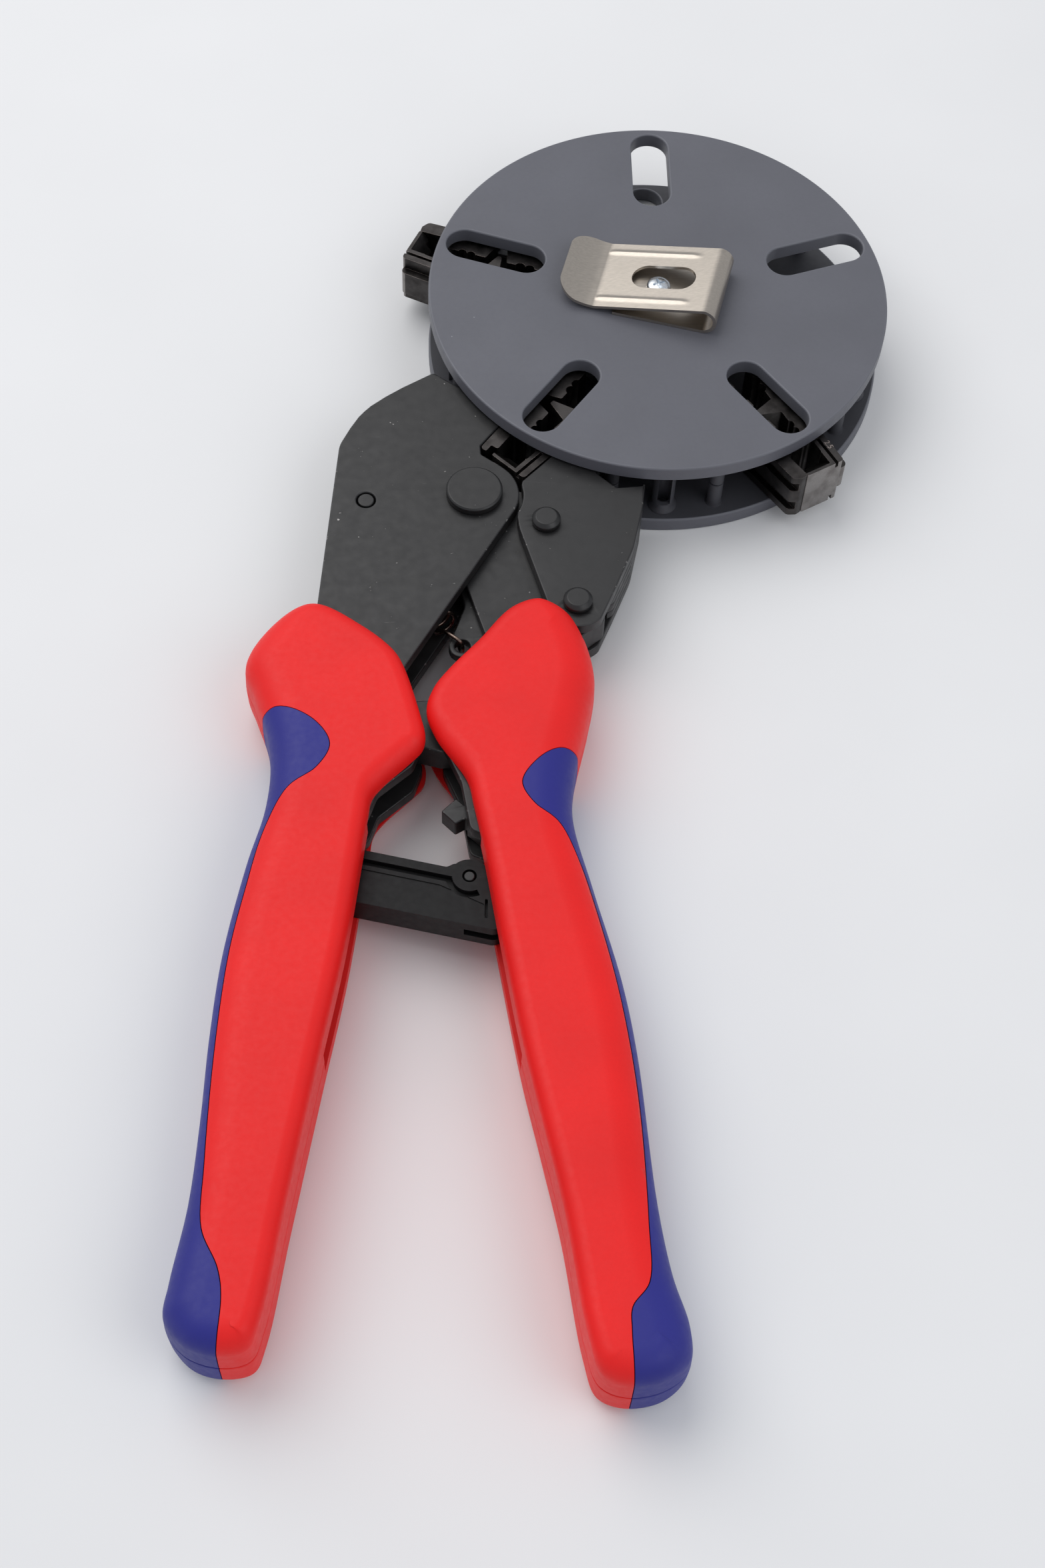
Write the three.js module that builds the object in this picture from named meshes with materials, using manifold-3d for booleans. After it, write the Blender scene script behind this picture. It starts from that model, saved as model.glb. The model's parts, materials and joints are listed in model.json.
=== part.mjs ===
// Ratchet crimping pliers with a docked round die magazine.
//
// Millimetres, +Z up. While it is being built the model lies flat about the plane z = 0, with the
// magazine's centre at x = y = 0, the handles along -Y and the jaws' split line at the angle
// DOCKED_STATION. At the end the whole group is moved so that its origin is the bottom centre of
// its bounding box. Every plate, shell and disc is symmetric about z = 0.

import * as THREE from "three";
import { mergeVertices } from "three/addons/utils/BufferGeometryUtils.js";
import Module from "manifold-3d";

const wasm = await Module();
wasm.setup();

// ---------------------------------------------------------------- driving dimensions

const CORE_HALF = 3.5; // half thickness of everything that works between the outer plates
const PLATE_INNER = 3.8; // outer plates lie between these two heights, above and below
const PLATE_OUTER = 6.8;
const GRIP_HALF = 11.2; // half thickness of the handles
const CAVITY_HALF = 7.1; // half height of the hollow inside the handles
const SEAM_HALF = 0.15; // half gap between an upper and a lower shell
const GAP = 0.3; // clearance between neighbours
const PAST = 1; // cutters reach this far past the faces they cut

const DISC_RADIUS = 55;
const DISC_INNER = 7.2; // discs lie between these two heights
const DISC_OUTER = 11.2;
const STATION_COUNT = 5;
const STATION_STEP = 360 / STATION_COUNT;
const DOCKED_STATION = 234; // degrees, direction from the magazine's centre into the jaws
const STORED_STATIONS = { left: 162, right: 306 };
const SLOT_START = 28.5;
const SLOT_END = 53.1;
const SLOT_WIDTH = 9.1;
const POST_RADIUS = 1.7;
const POST_CIRCLE = 50.5;
const POST_ANGLE = 22; // degrees to each side of a station
const COLUMN_CIRCLE = 50;
const COLUMN_RADIUS = 2.7;
const HUB_RADIUS = 20;

const JAW_OPENING = 7.2; // degrees that the moving jaw is open at rest
const DIE_START = 27.5; // distances along a station from the magazine's centre
const DIE_END = 62.5;
const DIE_HALF = 6.65; // half thickness of a die
const DIE_BODY = 5.0; // depth of the body and of its tongue behind the mating face
const DIE_TONGUE = 6.8;
const SPLIT_OFFSET = 1.3; // sideways offset of the jaws' split plane
const PIVOT_DISTANCE = 73.5; // distance of the main pivot along the docked station

const HANDLE_PIVOT = [-21.6, -89.2];
const JAW_RIVET = [-28.1, -66.7];
const SPRING_ANCHOR = [-68.8, -60.7];
const SPRING_EAR = [-47, -97];
const LINK_FIXED = [-68, -120]; // toggle link's pivot in the fixed handle
const LINK_KNEE = [-38, -115]; // toggle link's pivot in the moving handle
const PAWL_PIVOT = [-40.5, -140.5];
const STAY_PIVOT = [-45.7, -156.4];
const TANG_RIVETS = [[-27, -102.5], [-27.2, -111.5]];
const GRIP_RIVETS = [[-21.6, -226], [-25, -206]];
const FIXED_TANG_RIVETS = [[-85.6, -212], [-87.5, -226]];
const BRACKET_RIVET = [-29.2, -155];

const MAIN_PIN = 4.5; // radii of the pins and rivets
const RIVET_PIN = 2.3;
const LINK_PIN = 3;
const KNEE_PIN = 2.5;
const ANCHOR_PIN = 1.9;
const SMALL_PIN = 1.6;
const STAY_PIN = 1.2;
const CLIP_SCREW = 2.1;
const MAIN_HEAD = { radius: 6.4, rise: 2, chamfer: 0.5 };
const RIVET_HEAD = { radius: 3.3, rise: 2.2, chamfer: 0.7 };
const KNEE_PLAY = 0.65; // radial clearance of the knee, where the closed linkage is opened

const CLIP_WIDTH = 21;
const CLIP_ANGLE = -15;
const CLIP_SHEET = 0.8;
const CLIP_RISE = 7.2;

// ---------------------------------------------------------------- materials

const finish = (color, roughness, metalness) => () =>
  new THREE.MeshStandardMaterial({ color, roughness, metalness });
const blackSteel = finish(0x424142, 0.45, 0.6);
const pinSteel = finish(0x3a393a, 0.4, 0.7);
const dieSteel = finish(0x35312f, 0.35, 0.8);
const greyPlastic = finish(0x6b6c74, 0.6, 0.0);
const redPlastic = finish(0xf03c3a, 0.5, 0.0);
const bluePlastic = finish(0x323491, 0.55, 0.0);
const blackPlastic = finish(0x2c2c2d, 0.6, 0.0);
const clipSteel = finish(0xc8beaf, 0.3, 0.9);
const zincSteel = finish(0xc4ccd2, 0.3, 0.9);
const springSteel = finish(0x5a4a40, 0.35, 0.8);

// ---------------------------------------------------------------- plan geometry

const radians = THREE.MathUtils.degToRad;

const polar = ([x, y], radius, degrees) => [
  x + radius * Math.cos(radians(degrees)),
  y + radius * Math.sin(radians(degrees)),
];

// A point s out along a station and v to its side, in plan.
function onStation(station, s, v) {
  const a = radians(station);
  return [s * Math.cos(a) + v * Math.sin(a), s * Math.sin(a) - v * Math.cos(a)];
}

function turned([x, y], [cx, cy], degrees) {
  const c = Math.cos(radians(degrees));
  const s = Math.sin(radians(degrees));
  return [cx + (x - cx) * c - (y - cy) * s, cy + (x - cx) * s + (y - cy) * c];
}

const pivotOf = (station) => onStation(station, PIVOT_DISTANCE, SPLIT_OFFSET);
const MAIN_PIVOT = pivotOf(DOCKED_STATION);

// The same point on the moving side, which stands open by JAW_OPENING at rest.
const onOpenSide = (station, s, v) =>
  turned(onStation(station, s, v), pivotOf(station), -JAW_OPENING);

const fixedSide = (s, v) => onStation(DOCKED_STATION, s, v);
const movingSide = (s, v) => onOpenSide(DOCKED_STATION, s, v);

// Points along an arc, both ends included.
function arc(center, radius, from, to, steps) {
  const points = [];
  for (let i = 0; i <= steps; i += 1) {
    points.push(polar(center, radius, from + ((to - from) * i) / steps));
  }
  return points;
}

// A closed outline whose corners [x, y, radius] are rounded with that radius.
function rounded(corners, stepDegrees = 30) {
  const points = [];
  const count = corners.length;
  corners.forEach(([x, y, radius], i) => {
    const corner = new THREE.Vector2(x, y);
    if (!radius) {
      points.push(corner);
      return;
    }
    const before = corners[(i + count - 1) % count];
    const after = corners[(i + 1) % count];
    const back = new THREE.Vector2(before[0], before[1]).sub(corner);
    const ahead = new THREE.Vector2(after[0], after[1]).sub(corner);
    const room = 0.48 * Math.min(back.length(), ahead.length());
    back.normalize();
    ahead.normalize();
    const half = Math.acos(THREE.MathUtils.clamp(back.dot(ahead), -1, 1)) / 2;
    const reach = Math.min(radius / Math.tan(half), room);
    const center = back.clone().add(ahead).normalize();
    center.multiplyScalar(reach / Math.cos(half)).add(corner);
    const first = corner.clone().addScaledVector(back, reach).sub(center);
    const last = corner.clone().addScaledVector(ahead, reach).sub(center);
    let sweep = last.angle() - first.angle();
    if (sweep > Math.PI) sweep -= 2 * Math.PI;
    if (sweep < -Math.PI) sweep += 2 * Math.PI;
    const steps = Math.max(1, Math.ceil(Math.abs(sweep) / radians(stepDegrees)));
    for (let k = 0; k <= steps; k += 1) {
      const step = first.clone().rotateAround(new THREE.Vector2(), (sweep * k) / steps);
      points.push(step.add(center));
    }
  });
  return points.map((p) => [p.x, p.y]);
}

// A smooth closed outline through its points.
function smooth(points, divisions) {
  const through = points.map(([x, y]) => new THREE.Vector3(x, y, 0));
  const curve = new THREE.CatmullRomCurve3(through, true, "centripetal");
  return curve.getSpacedPoints(divisions).slice(0, -1).map((p) => [p.x, p.y]);
}

// A smooth open line through its points.
function smoothLine(points, divisions) {
  const through = points.map(([x, y]) => new THREE.Vector3(x, y, 0));
  const curve = new THREE.CatmullRomCurve3(through, false, "centripetal");
  return curve.getPoints(divisions).map((p) => [p.x, p.y]);
}

// A line moved sideways, to the left of its direction when the distance is positive.
function moved(line, distance) {
  return line.map((point, i) => {
    const a = line[Math.max(0, i - 1)];
    const b = line[Math.min(line.length - 1, i + 1)];
    const length = Math.hypot(b[0] - a[0], b[1] - a[1]);
    const nx = -(b[1] - a[1]) / length;
    const ny = (b[0] - a[0]) / length;
    return [point[0] + nx * distance, point[1] + ny * distance];
  });
}

const circle = (center, radius, steps) => arc(center, radius, 0, 360 - 360 / steps, steps - 1);

// ---------------------------------------------------------------- solids

function solid(geometry) {
  const bare = geometry.clone();
  bare.deleteAttribute("normal");
  bare.deleteAttribute("uv");
  const merged = mergeVertices(bare, 1e-4);
  const vertProperties = new Float32Array(merged.attributes.position.array);
  const triVerts = new Uint32Array(merged.index.array);
  return new wasm.Manifold(new wasm.Mesh({ numProp: 3, vertProperties, triVerts }));
}

function geometryOf(manifold) {
  const mesh = manifold.getMesh();
  const geometry = new THREE.BufferGeometry();
  const position = new THREE.BufferAttribute(new Float32Array(mesh.vertProperties), mesh.numProp);
  geometry.setAttribute("position", position);
  geometry.setIndex(new THREE.BufferAttribute(new Uint32Array(mesh.triVerts), 1));
  geometry.computeVertexNormals();
  return geometry;
}

function shapeOf(points, holes = []) {
  const shape = new THREE.Shape(points.map(([x, y]) => new THREE.Vector2(x, y)));
  holes.forEach((hole) => {
    shape.holes.push(new THREE.Path(hole.map(([x, y]) => new THREE.Vector2(x, y))));
  });
  return shape;
}

// A flat slab of a plan outline between two heights.
function slabGeometry(points, low, high, holes = []) {
  const options = { depth: high - low, bevelEnabled: false };
  const geometry = new THREE.ExtrudeGeometry(shapeOf(points, holes), options);
  geometry.translate(0, 0, low);
  return geometry;
}

const slab = (points, low, high, holes) => solid(slabGeometry(points, low, high, holes));

// A slab with its top and bottom edges rounded off.
function softSlab(points, half, edge) {
  const options = {
    depth: 2 * (half - edge),
    bevelThickness: edge,
    bevelSize: edge,
    bevelOffset: -edge,
    bevelSegments: 2,
  };
  const geometry = new THREE.ExtrudeGeometry(shapeOf(points), options);
  geometry.translate(0, 0, edge - half);
  return solid(geometry);
}

// A turned part about a vertical axis, from [radius, height] points.
function turnedPart([x, y], profile, steps) {
  const points = profile.map(([radius, height]) => new THREE.Vector2(radius, height));
  const geometry = new THREE.LatheGeometry(points, steps);
  geometry.rotateX(Math.PI / 2);
  geometry.translate(x, y, 0);
  return solid(geometry);
}

function plainPin(center, radius, half, steps = 20) {
  return slab(circle(center, radius, steps), -half, half);
}

// A riveted pin: a shaft with a chamfered head at each end.
function headedPin(center, shaft, head, steps) {
  const under = PLATE_OUTER + GAP / 2;
  const top = PLATE_OUTER + head.rise;
  const flat = head.radius - head.chamfer;
  const profile = [
    [0, -top],
    [flat, -top],
    [head.radius, -top + head.chamfer],
    [head.radius, -under],
    [shaft, -under],
    [shaft, under],
    [head.radius, under],
    [head.radius, top - head.chamfer],
    [flat, top],
    [0, top],
  ];
  return turnedPart(center, profile, steps);
}

const model = new THREE.Group();

function add(name, shape, material) {
  const geometry = shape.isBufferGeometry ? shape : geometryOf(shape);
  const mesh = new THREE.Mesh(geometry, material());
  mesh.name = name;
  model.add(mesh);
}

// Adds one outline as a top and a bottom lamination.
function addPair(name, outline, low, high, holes, material) {
  add(`${name}_top`, slabGeometry(outline, low, high, holes), material);
  add(`${name}_bottom`, slabGeometry(outline, -high, -low, holes), material);
}

// ---------------------------------------------------------------- fixed jaw and its tang

const NOSE_START = 24.5;
const NOSE_SIDE = 16.5;
const SHOULDER = 49.8;
const POCKET_WALL = 8.4;
const POCKET_END = 63.2;
const LOBE_RADIUS = 10.2;

const jawOuterEdge = [
  [-54.2, -22.8, 3],
  [-61.1, -27.2, 6],
  [-70, -34.2, 10],
  [-75.2, -44.5, 8],
  [-78.9, -90, 3],
];
const tangOuterEdge = [
  [-84.5, -101, 6],
  [-84.4, -122, 8],
  [-84.2, -140, 20],
  [-89.2, -176, 30],
  [-91.4, -212, 30],
  [-91.6, -236, 3],
  [-85.3, -236, 3],
];

const fixedPlate = rounded([
  [...fixedSide(NOSE_START, POCKET_WALL), 1],
  [...fixedSide(NOSE_START, NOSE_SIDE), 2.5],
  [...fixedSide(SHOULDER, NOSE_SIDE), 1.5],
  [...fixedSide(SHOULDER, 30), 1.5],
  ...jawOuterEdge,
  ...tangOuterEdge,
  [-70.4, -148.5, 4],
  [-66.7, -143.5, 3],
  [-64.9, -138.2, 3],
  [-57.5, -131.6, 3],
  [-55.6, -126, 3],
  [-59.8, -107, 4],
  ...arc(MAIN_PIVOT, LOBE_RADIUS, -30, 54, 5),
  [...fixedSide(POCKET_END, 6.8), 0.8],
  [...fixedSide(POCKET_END - 2, POCKET_WALL), 0.8],
]);

const fixedPlateHoles = [
  circle(MAIN_PIVOT, MAIN_PIN + GAP, 24),
  circle(SPRING_ANCHOR, ANCHOR_PIN + GAP, 12),
  circle(LINK_FIXED, LINK_PIN + GAP, 16),
  ...FIXED_TANG_RIVETS.map((center) => circle(center, RIVET_PIN + GAP, 10)),
];
addPair("fixed_plate", fixedPlate, PLATE_INNER, PLATE_OUTER, fixedPlateHoles, blackSteel);

const fixedSpacer = rounded([
  [...fixedSide(NOSE_START, POCKET_WALL), 1],
  [...fixedSide(NOSE_START, NOSE_SIDE), 2.5],
  [...fixedSide(SHOULDER, NOSE_SIDE), 1.5],
  [...fixedSide(SHOULDER, 30), 1.5],
  ...jawOuterEdge,
  [-83.5, -101, 2],
  [-83.3, -110, 1],
  [-79.5, -110, 2],
  [-73.6, -66, 4],
  [-72.2, -55, 3],
  [-56.5, -54.5, 2],
  [-50.6, -49.8, 2],
  [...fixedSide(POCKET_END, POCKET_WALL), 0.5],
]);
add("fixed_spacer", slabGeometry(fixedSpacer, -CORE_HALF, CORE_HALF), blackSteel);

const tangSpacer = rounded([[-80.6, -205, 2], [-90, -205, 2], [-91, -234, 2], [-85.6, -234, 2]]);
const fixedTangHoles = FIXED_TANG_RIVETS.map((center) => circle(center, RIVET_PIN + GAP, 10));
add("fixed_tang_spacer", slabGeometry(tangSpacer, -CORE_HALF, CORE_HALF, fixedTangHoles), blackSteel);
FIXED_TANG_RIVETS.forEach((center, i) => {
  add(`fixed_tang_rivet_${i + 1}`, plainPin(center, RIVET_PIN, PLATE_OUTER, 12), pinSteel);
});

add("main_pivot_pin", headedPin(MAIN_PIVOT, MAIN_PIN, MAIN_HEAD, 24), pinSteel);
add("spring_anchor_pin", plainPin(SPRING_ANCHOR, ANCHOR_PIN, PLATE_OUTER, 12), pinSteel);
add("link_pivot_pin", plainPin(LINK_FIXED, LINK_PIN, PLATE_OUTER), pinSteel);

// ---------------------------------------------------------------- moving jaw

const KNUCKLE_RADIUS = 6.4; // rounded lower end of the outer plates about the handle pivot
const EYE_RADIUS = 8.6; // inner laminations about the main pivot
const CENTRE_HALF = 1.15; // half thickness of the centre lamination
const EAR_HOLE = 1.7;

const jawRightEdge = [
  [-13.2, -85.5, 8],
  [-8.6, -74, 14],
  [-6, -62, 10],
  [-5.2, -55.4, 2],
];
const movingNose = [
  [...movingSide(45.2, -25), 1.5],
  [...movingSide(SHOULDER, -21), 1],
  [...movingSide(SHOULDER, -14.2), 1],
  [...movingSide(NOSE_START, -10), 2],
];

const movingPlate = rounded([
  ...movingNose,
  [...movingSide(NOSE_START, SPLIT_OFFSET - DIE_BODY - 0.4), 0.8],
  [...movingSide(POCKET_END, SPLIT_OFFSET - DIE_BODY - 0.4), 0.6],
  ...arc(MAIN_PIVOT, LOBE_RADIUS + 0.9, 14, -28, 4),
  [-34.2, -68.5, 3],
  ...arc(HANDLE_PIVOT, KNUCKLE_RADIUS, 197, 326, 7),
  ...jawRightEdge,
]);
const movingPlateHoles = [
  circle(JAW_RIVET, RIVET_PIN + GAP, 12),
  circle(HANDLE_PIVOT, RIVET_PIN + GAP, 12),
];
addPair("moving_plate", movingPlate, PLATE_INNER, PLATE_OUTER, movingPlateHoles, blackSteel);

// The inner laminations carry the pivot eye; the centre one also has the ear for the spring.
const coreRight = [
  ...arc(HANDLE_PIVOT, KNUCKLE_RADIUS + 1.2, 180, 22, 8),
  ...jawRightEdge,
  ...movingNose,
  [...movingSide(NOSE_START, SPLIT_OFFSET - DIE_TONGUE - GAP), 0.5],
  [...movingSide(POCKET_END, SPLIT_OFFSET - DIE_TONGUE - GAP), 0.5],
];
const coreEye = arc(MAIN_PIVOT, EYE_RADIUS, 40, 197, 8);
const movingInner = rounded([...coreEye, [-41.9, -96, 1.5], [-38, -95.4, 3], ...coreRight]);
const movingCentre = rounded([
  ...coreEye,
  [-46.4, -86, 4],
  ...arc(SPRING_EAR, 3, 150, 345, 6),
  [-41, -94.5, 1.5],
  ...coreRight,
]);
const coreHoles = [
  circle(MAIN_PIVOT, MAIN_PIN + GAP, 24),
  circle(JAW_RIVET, RIVET_PIN + GAP, 12),
];
addPair("moving_inner_plate", movingInner, CENTRE_HALF + GAP, CORE_HALF, coreHoles, blackSteel);
const centreHoles = [...coreHoles, circle(SPRING_EAR, EAR_HOLE, 12)];
const centreSlab = slabGeometry(movingCentre, -CENTRE_HALF, CENTRE_HALF, centreHoles);
add("moving_centre_plate", centreSlab, blackSteel);

add("jaw_rivet", headedPin(JAW_RIVET, RIVET_PIN, RIVET_HEAD, 14), pinSteel);
add("handle_pivot_pin", headedPin(HANDLE_PIVOT, RIVET_PIN, RIVET_HEAD, 14), pinSteel);

// ---------------------------------------------------------------- return spring

const RETURN_SPRING = { wire: 0.45, hook: 2.8, coil: 2.7, turns: 6, perTurn: 6 };

// An extension spring from the anchor pin in the fixed jaw to the ear of the moving jaw.
function springPath() {
  const start = new THREE.Vector2(...SPRING_ANCHOR);
  const end = new THREE.Vector2(...SPRING_EAR);
  const along = end.clone().sub(start);
  const length = along.length();
  along.normalize();
  const side = new THREE.Vector2(-along.y, along.x);
  const at = (distance, offset, height) =>
    new THREE.Vector3(
      start.x + along.x * distance + side.x * offset,
      start.y + along.y * distance + side.y * offset,
      height,
    );
  const { hook, coil, turns, perTurn } = RETURN_SPRING;
  const coilStart = 9;
  const coilEnd = length - 8;
  const points = [at(2, hook, 0), at(-hook + 0.6, hook - 0.6, 0), at(-hook, 0, 0)];
  points.push(at(-1.6, -hook + 0.4, 0), at(2.4, -hook + 0.6, 0));
  for (let i = 0; i <= turns * perTurn; i += 1) {
    const phase = (i / perTurn) * 2 * Math.PI;
    const distance = coilStart + ((coilEnd - coilStart) * i) / (turns * perTurn);
    points.push(at(distance, -coil * Math.cos(phase), coil * Math.sin(phase)));
  }
  points.push(at(length - 3.4, -0.6, 1.6), at(length - 0.9, 0, 1.9), at(length, 0, 0.6));
  points.push(at(length, 0, -1.2), at(length - 1.6, 0, -2.2));
  return new THREE.CatmullRomCurve3(points);
}

const wireSection = shapeOf(circle([0, 0], RETURN_SPRING.wire, 5));
const springOptions = { extrudePath: springPath(), steps: 62, bevelEnabled: false };
add("return_spring", new THREE.ExtrudeGeometry(wireSection, springOptions), springSteel);

// ---------------------------------------------------------------- moving handle's steel

const sidePlate = rounded([
  ...arc(HANDLE_PIVOT, KNUCKLE_RADIUS + 1, 262, 218, 3),
  [-36, -96.4, 4],
  [-44.5, -104, 5],
  [-49.6, -110.5, 5],
  [-51.4, -118, 5],
  [-51.2, -126.5, 4],
  [-47.4, -135.6, 6],
  [-45.5, -147.2, 2],
  [-41.4, -148.9, 2],
  [-40.2, -155, 3],
  [-35.4, -180, 30],
  [-23, -240, 3],
  [-15.8, -240, 3],
  [-17, -205, 40],
  [-22, -172, 30],
  [-28, -148, 14],
  [-26.6, -128, 20],
  [-22.4, -109, 8],
  [-23.6, -97.5, 1.5],
]);
const sidePlateHoles = [
  ...TANG_RIVETS.map((center) => circle(center, RIVET_PIN + GAP, 10)),
  ...GRIP_RIVETS.map((center) => circle(center, RIVET_PIN + GAP, 10)),
  circle(LINK_KNEE, KNEE_PIN + GAP, 16),
  circle(PAWL_PIVOT, SMALL_PIN + GAP, 12),
  circle(BRACKET_RIVET, SMALL_PIN + GAP, 10),
];
addPair("handle_plate", sidePlate, PLATE_INNER, PLATE_OUTER, sidePlateHoles, blackSteel);

const handleTang = rounded([
  ...arc(HANDLE_PIVOT, 6.2, -25, 190, 8),
  [-30.8, -99, 4],
  [-30.5, -118.5, 2],
  [-25, -118.5, 2],
  [-23.2, -109, 4],
  [-23.2, -98, 2],
]);
const handleTangHoles = [
  circle(HANDLE_PIVOT, RIVET_PIN + GAP, 12),
  ...TANG_RIVETS.map((center) => circle(center, RIVET_PIN + GAP, 10)),
];
const tangSlab = slabGeometry(handleTang, -CORE_HALF, CORE_HALF, handleTangHoles);
add("handle_tang", tangSlab, blackSteel);

const gripSpacer = rounded([[-30.4, -200, 2], [-18.8, -200, 2], [-17.6, -236, 2], [-23.4, -236, 2]]);
const gripSpacerHoles = GRIP_RIVETS.map((center) => circle(center, RIVET_PIN + GAP, 10));
add("handle_spacer", slabGeometry(gripSpacer, -CORE_HALF, CORE_HALF, gripSpacerHoles), blackSteel);

[...TANG_RIVETS, ...GRIP_RIVETS].forEach((center, i) => {
  add(`handle_rivet_${i + 1}`, plainPin(center, RIVET_PIN, PLATE_OUTER, 12), pinSteel);
});
add("knee_pin", plainPin(LINK_KNEE, KNEE_PIN, PLATE_OUTER), pinSteel);

// ---------------------------------------------------------------- toggle link and pawl

const SECTOR_RADIUS = 15;
const SECTOR_TEETH = 9;

// Saw teeth around the knee, which the pawl drops into.
function sectorTeeth(from, to) {
  const points = [];
  const step = (to - from) / SECTOR_TEETH;
  for (let i = 0; i < SECTOR_TEETH; i += 1) {
    points.push(polar(LINK_KNEE, SECTOR_RADIUS, from + step * i));
    points.push(polar(LINK_KNEE, SECTOR_RADIUS - 1.2, from + step * (i + 0.15)));
  }
  points.push(polar(LINK_KNEE, SECTOR_RADIUS, to));
  return points;
}

const toggleLink = rounded([
  ...arc(LINK_FIXED, 6.4, 75, 275, 9),
  [-60, -124.2, 8],
  [-51.5, -126.2, 2],
  ...sectorTeeth(228, 294),
  ...arc(LINK_KNEE, 6.6, 310, 462, 7),
  [-52, -112.8, 10],
]);
const linkHoles = [
  circle(LINK_FIXED, LINK_PIN + GAP, 18),
  circle(LINK_KNEE, KNEE_PIN + KNEE_PLAY, 18),
];
add("toggle_link", slabGeometry(toggleLink, -CORE_HALF, CORE_HALF, linkHoles), blackSteel);

const PAWL_HALF = 3.4;
const pawl = rounded([
  [-37.6, -131.4, 0.3],
  [-39.8, -132.6, 0.5],
  [-43.6, -137.6, 2],
  [-46.6, -139.4, 0.5],
  [-48.4, -137.6, 0.4],
  [-51.6, -140.8, 0.4],
  [-48.6, -143.9, 0.4],
  [-46.4, -142.6, 0.5],
  [-42.6, -146.2, 2],
  [-36.6, -143.4, 3],
  [-36.6, -138, 2],
]);
const pawlHoles = [circle(PAWL_PIVOT, SMALL_PIN + GAP, 14)];
const TAB_LOW = -1.2; // the finger tab ends at this height, above the rest of the pawl's underside
const tabZone = [[-46, -130], [-60, -130], [-60, -150], [-46, -150]];
const pawlSlab = slab(pawl, -PAWL_HALF, PAWL_HALF, pawlHoles);
add("ratchet_pawl", pawlSlab.subtract(slab(tabZone, -PAWL_HALF - 1, TAB_LOW)), blackSteel);
add("pawl_pin", plainPin(PAWL_PIVOT, SMALL_PIN, PLATE_OUTER, 12), pinSteel);

const PAWL_SPRING = { start: [-33.6, -141], length: 4, coil: 1.5, wire: 0.3, turns: 4, perTurn: 8 };

// A small coil that pushes the pawl into the teeth.
function pawlSpringPath() {
  const { start: [x, y], length, coil, turns, perTurn } = PAWL_SPRING;
  const steps = turns * perTurn;
  const points = [];
  for (let i = 0; i <= steps; i += 1) {
    const phase = (i / perTurn) * 2 * Math.PI;
    const [side, height] = [coil * Math.cos(phase), coil * Math.sin(phase)];
    points.push(new THREE.Vector3(x + (i * length) / steps, y + side, height));
  }
  return new THREE.CatmullRomCurve3(points);
}
const pawlWire = shapeOf(circle([0, 0], PAWL_SPRING.wire, 4));
const pawlSpringOptions = { extrudePath: pawlSpringPath(), steps: 26, bevelEnabled: false };
add("pawl_spring", new THREE.ExtrudeGeometry(pawlWire, pawlSpringOptions), springSteel);

// ---------------------------------------------------------------- stay bar between the handles

const CHEEK_INNER = 1.1; // the bar's boss is forked round the bracket's eye
const BRACKET_HALF = 0.8;
const BAR_SLOPE = 167; // direction from the boss along the bar
const BOSS = { step: 4.4, half: 2.6, inner: 3.6, outer: 5, groove: 1.6 };
const PANEL_DEPTH = 0.25;

function stayBar() {
  const along = ([distance, down, radius]) => {
    const [x, y] = polar(STAY_PIVOT, distance, BAR_SLOPE);
    return [...polar([x, y], down, BAR_SLOPE + 90), radius];
  };
  const plan = (corners) => rounded(corners.map(along));
  const outline = plan([
    [-6.5, -2.2, 1],
    [3.6, -2.2, 1.5],
    [5, -1, 1],
    [31, -1, 1],
    [31, 10.2, 2],
    [22.9, 10.2, 0.5],
    [22.4, 11.2, 0.5],
    [-9.4, 11.2, 2.5],
    [-9.4, 4, 2],
    [-6.5, 2, 2],
  ]);
  const fork = plan([
    [4.2, -6, 0],
    [4.2, 2.6, 2],
    [0.8, 5.4, 2],
    [-2.4, 14, 0],
    [-14, 14, 0],
    [-14, -6, 0],
  ]);
  const lineGroove = plan([[27, 0.95, 0], [27, 2.4, 0.5], [4, 2.4, 0], [3.4, 0.95, 0]]);
  const ring = (radius) => arc(STAY_PIVOT, radius, BAR_SLOPE + 20, BAR_SLOPE + 128, 6);
  const bossGroove = [...ring(BOSS.inner), ...ring(BOSS.outer).reverse()];
  const panel = plan([[26, 3.4, 0.5], [26, 8.9, 0.5], [-5.6, 8.9, 0.5], [-4.6, 5.8, 0.5], [5.6, 3.4, 0.5]]);
  const floor = CORE_HALF - BOSS.groove;
  return slab(outline, -CORE_HALF, CORE_HALF)
    .add(slab(circle(STAY_PIVOT, BOSS.step, 20), -BOSS.half, BOSS.half))
    .subtract(slab(fork, -CHEEK_INNER, CHEEK_INNER))
    .subtract(slab(lineGroove, floor, CORE_HALF + PAST))
    .subtract(slab(bossGroove, floor, CORE_HALF + PAST))
    .subtract(slab(panel, CORE_HALF - PANEL_DEPTH, CORE_HALF + PAST))
    .subtract(slab(circle(STAY_PIVOT, STAY_PIN + GAP, 12), -CORE_HALF - PAST, CORE_HALF + PAST));
}
add("stay_bar", stayBar(), blackPlastic);
add("stay_pin", plainPin(STAY_PIVOT, STAY_PIN, CORE_HALF, 12), pinSteel);

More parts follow.
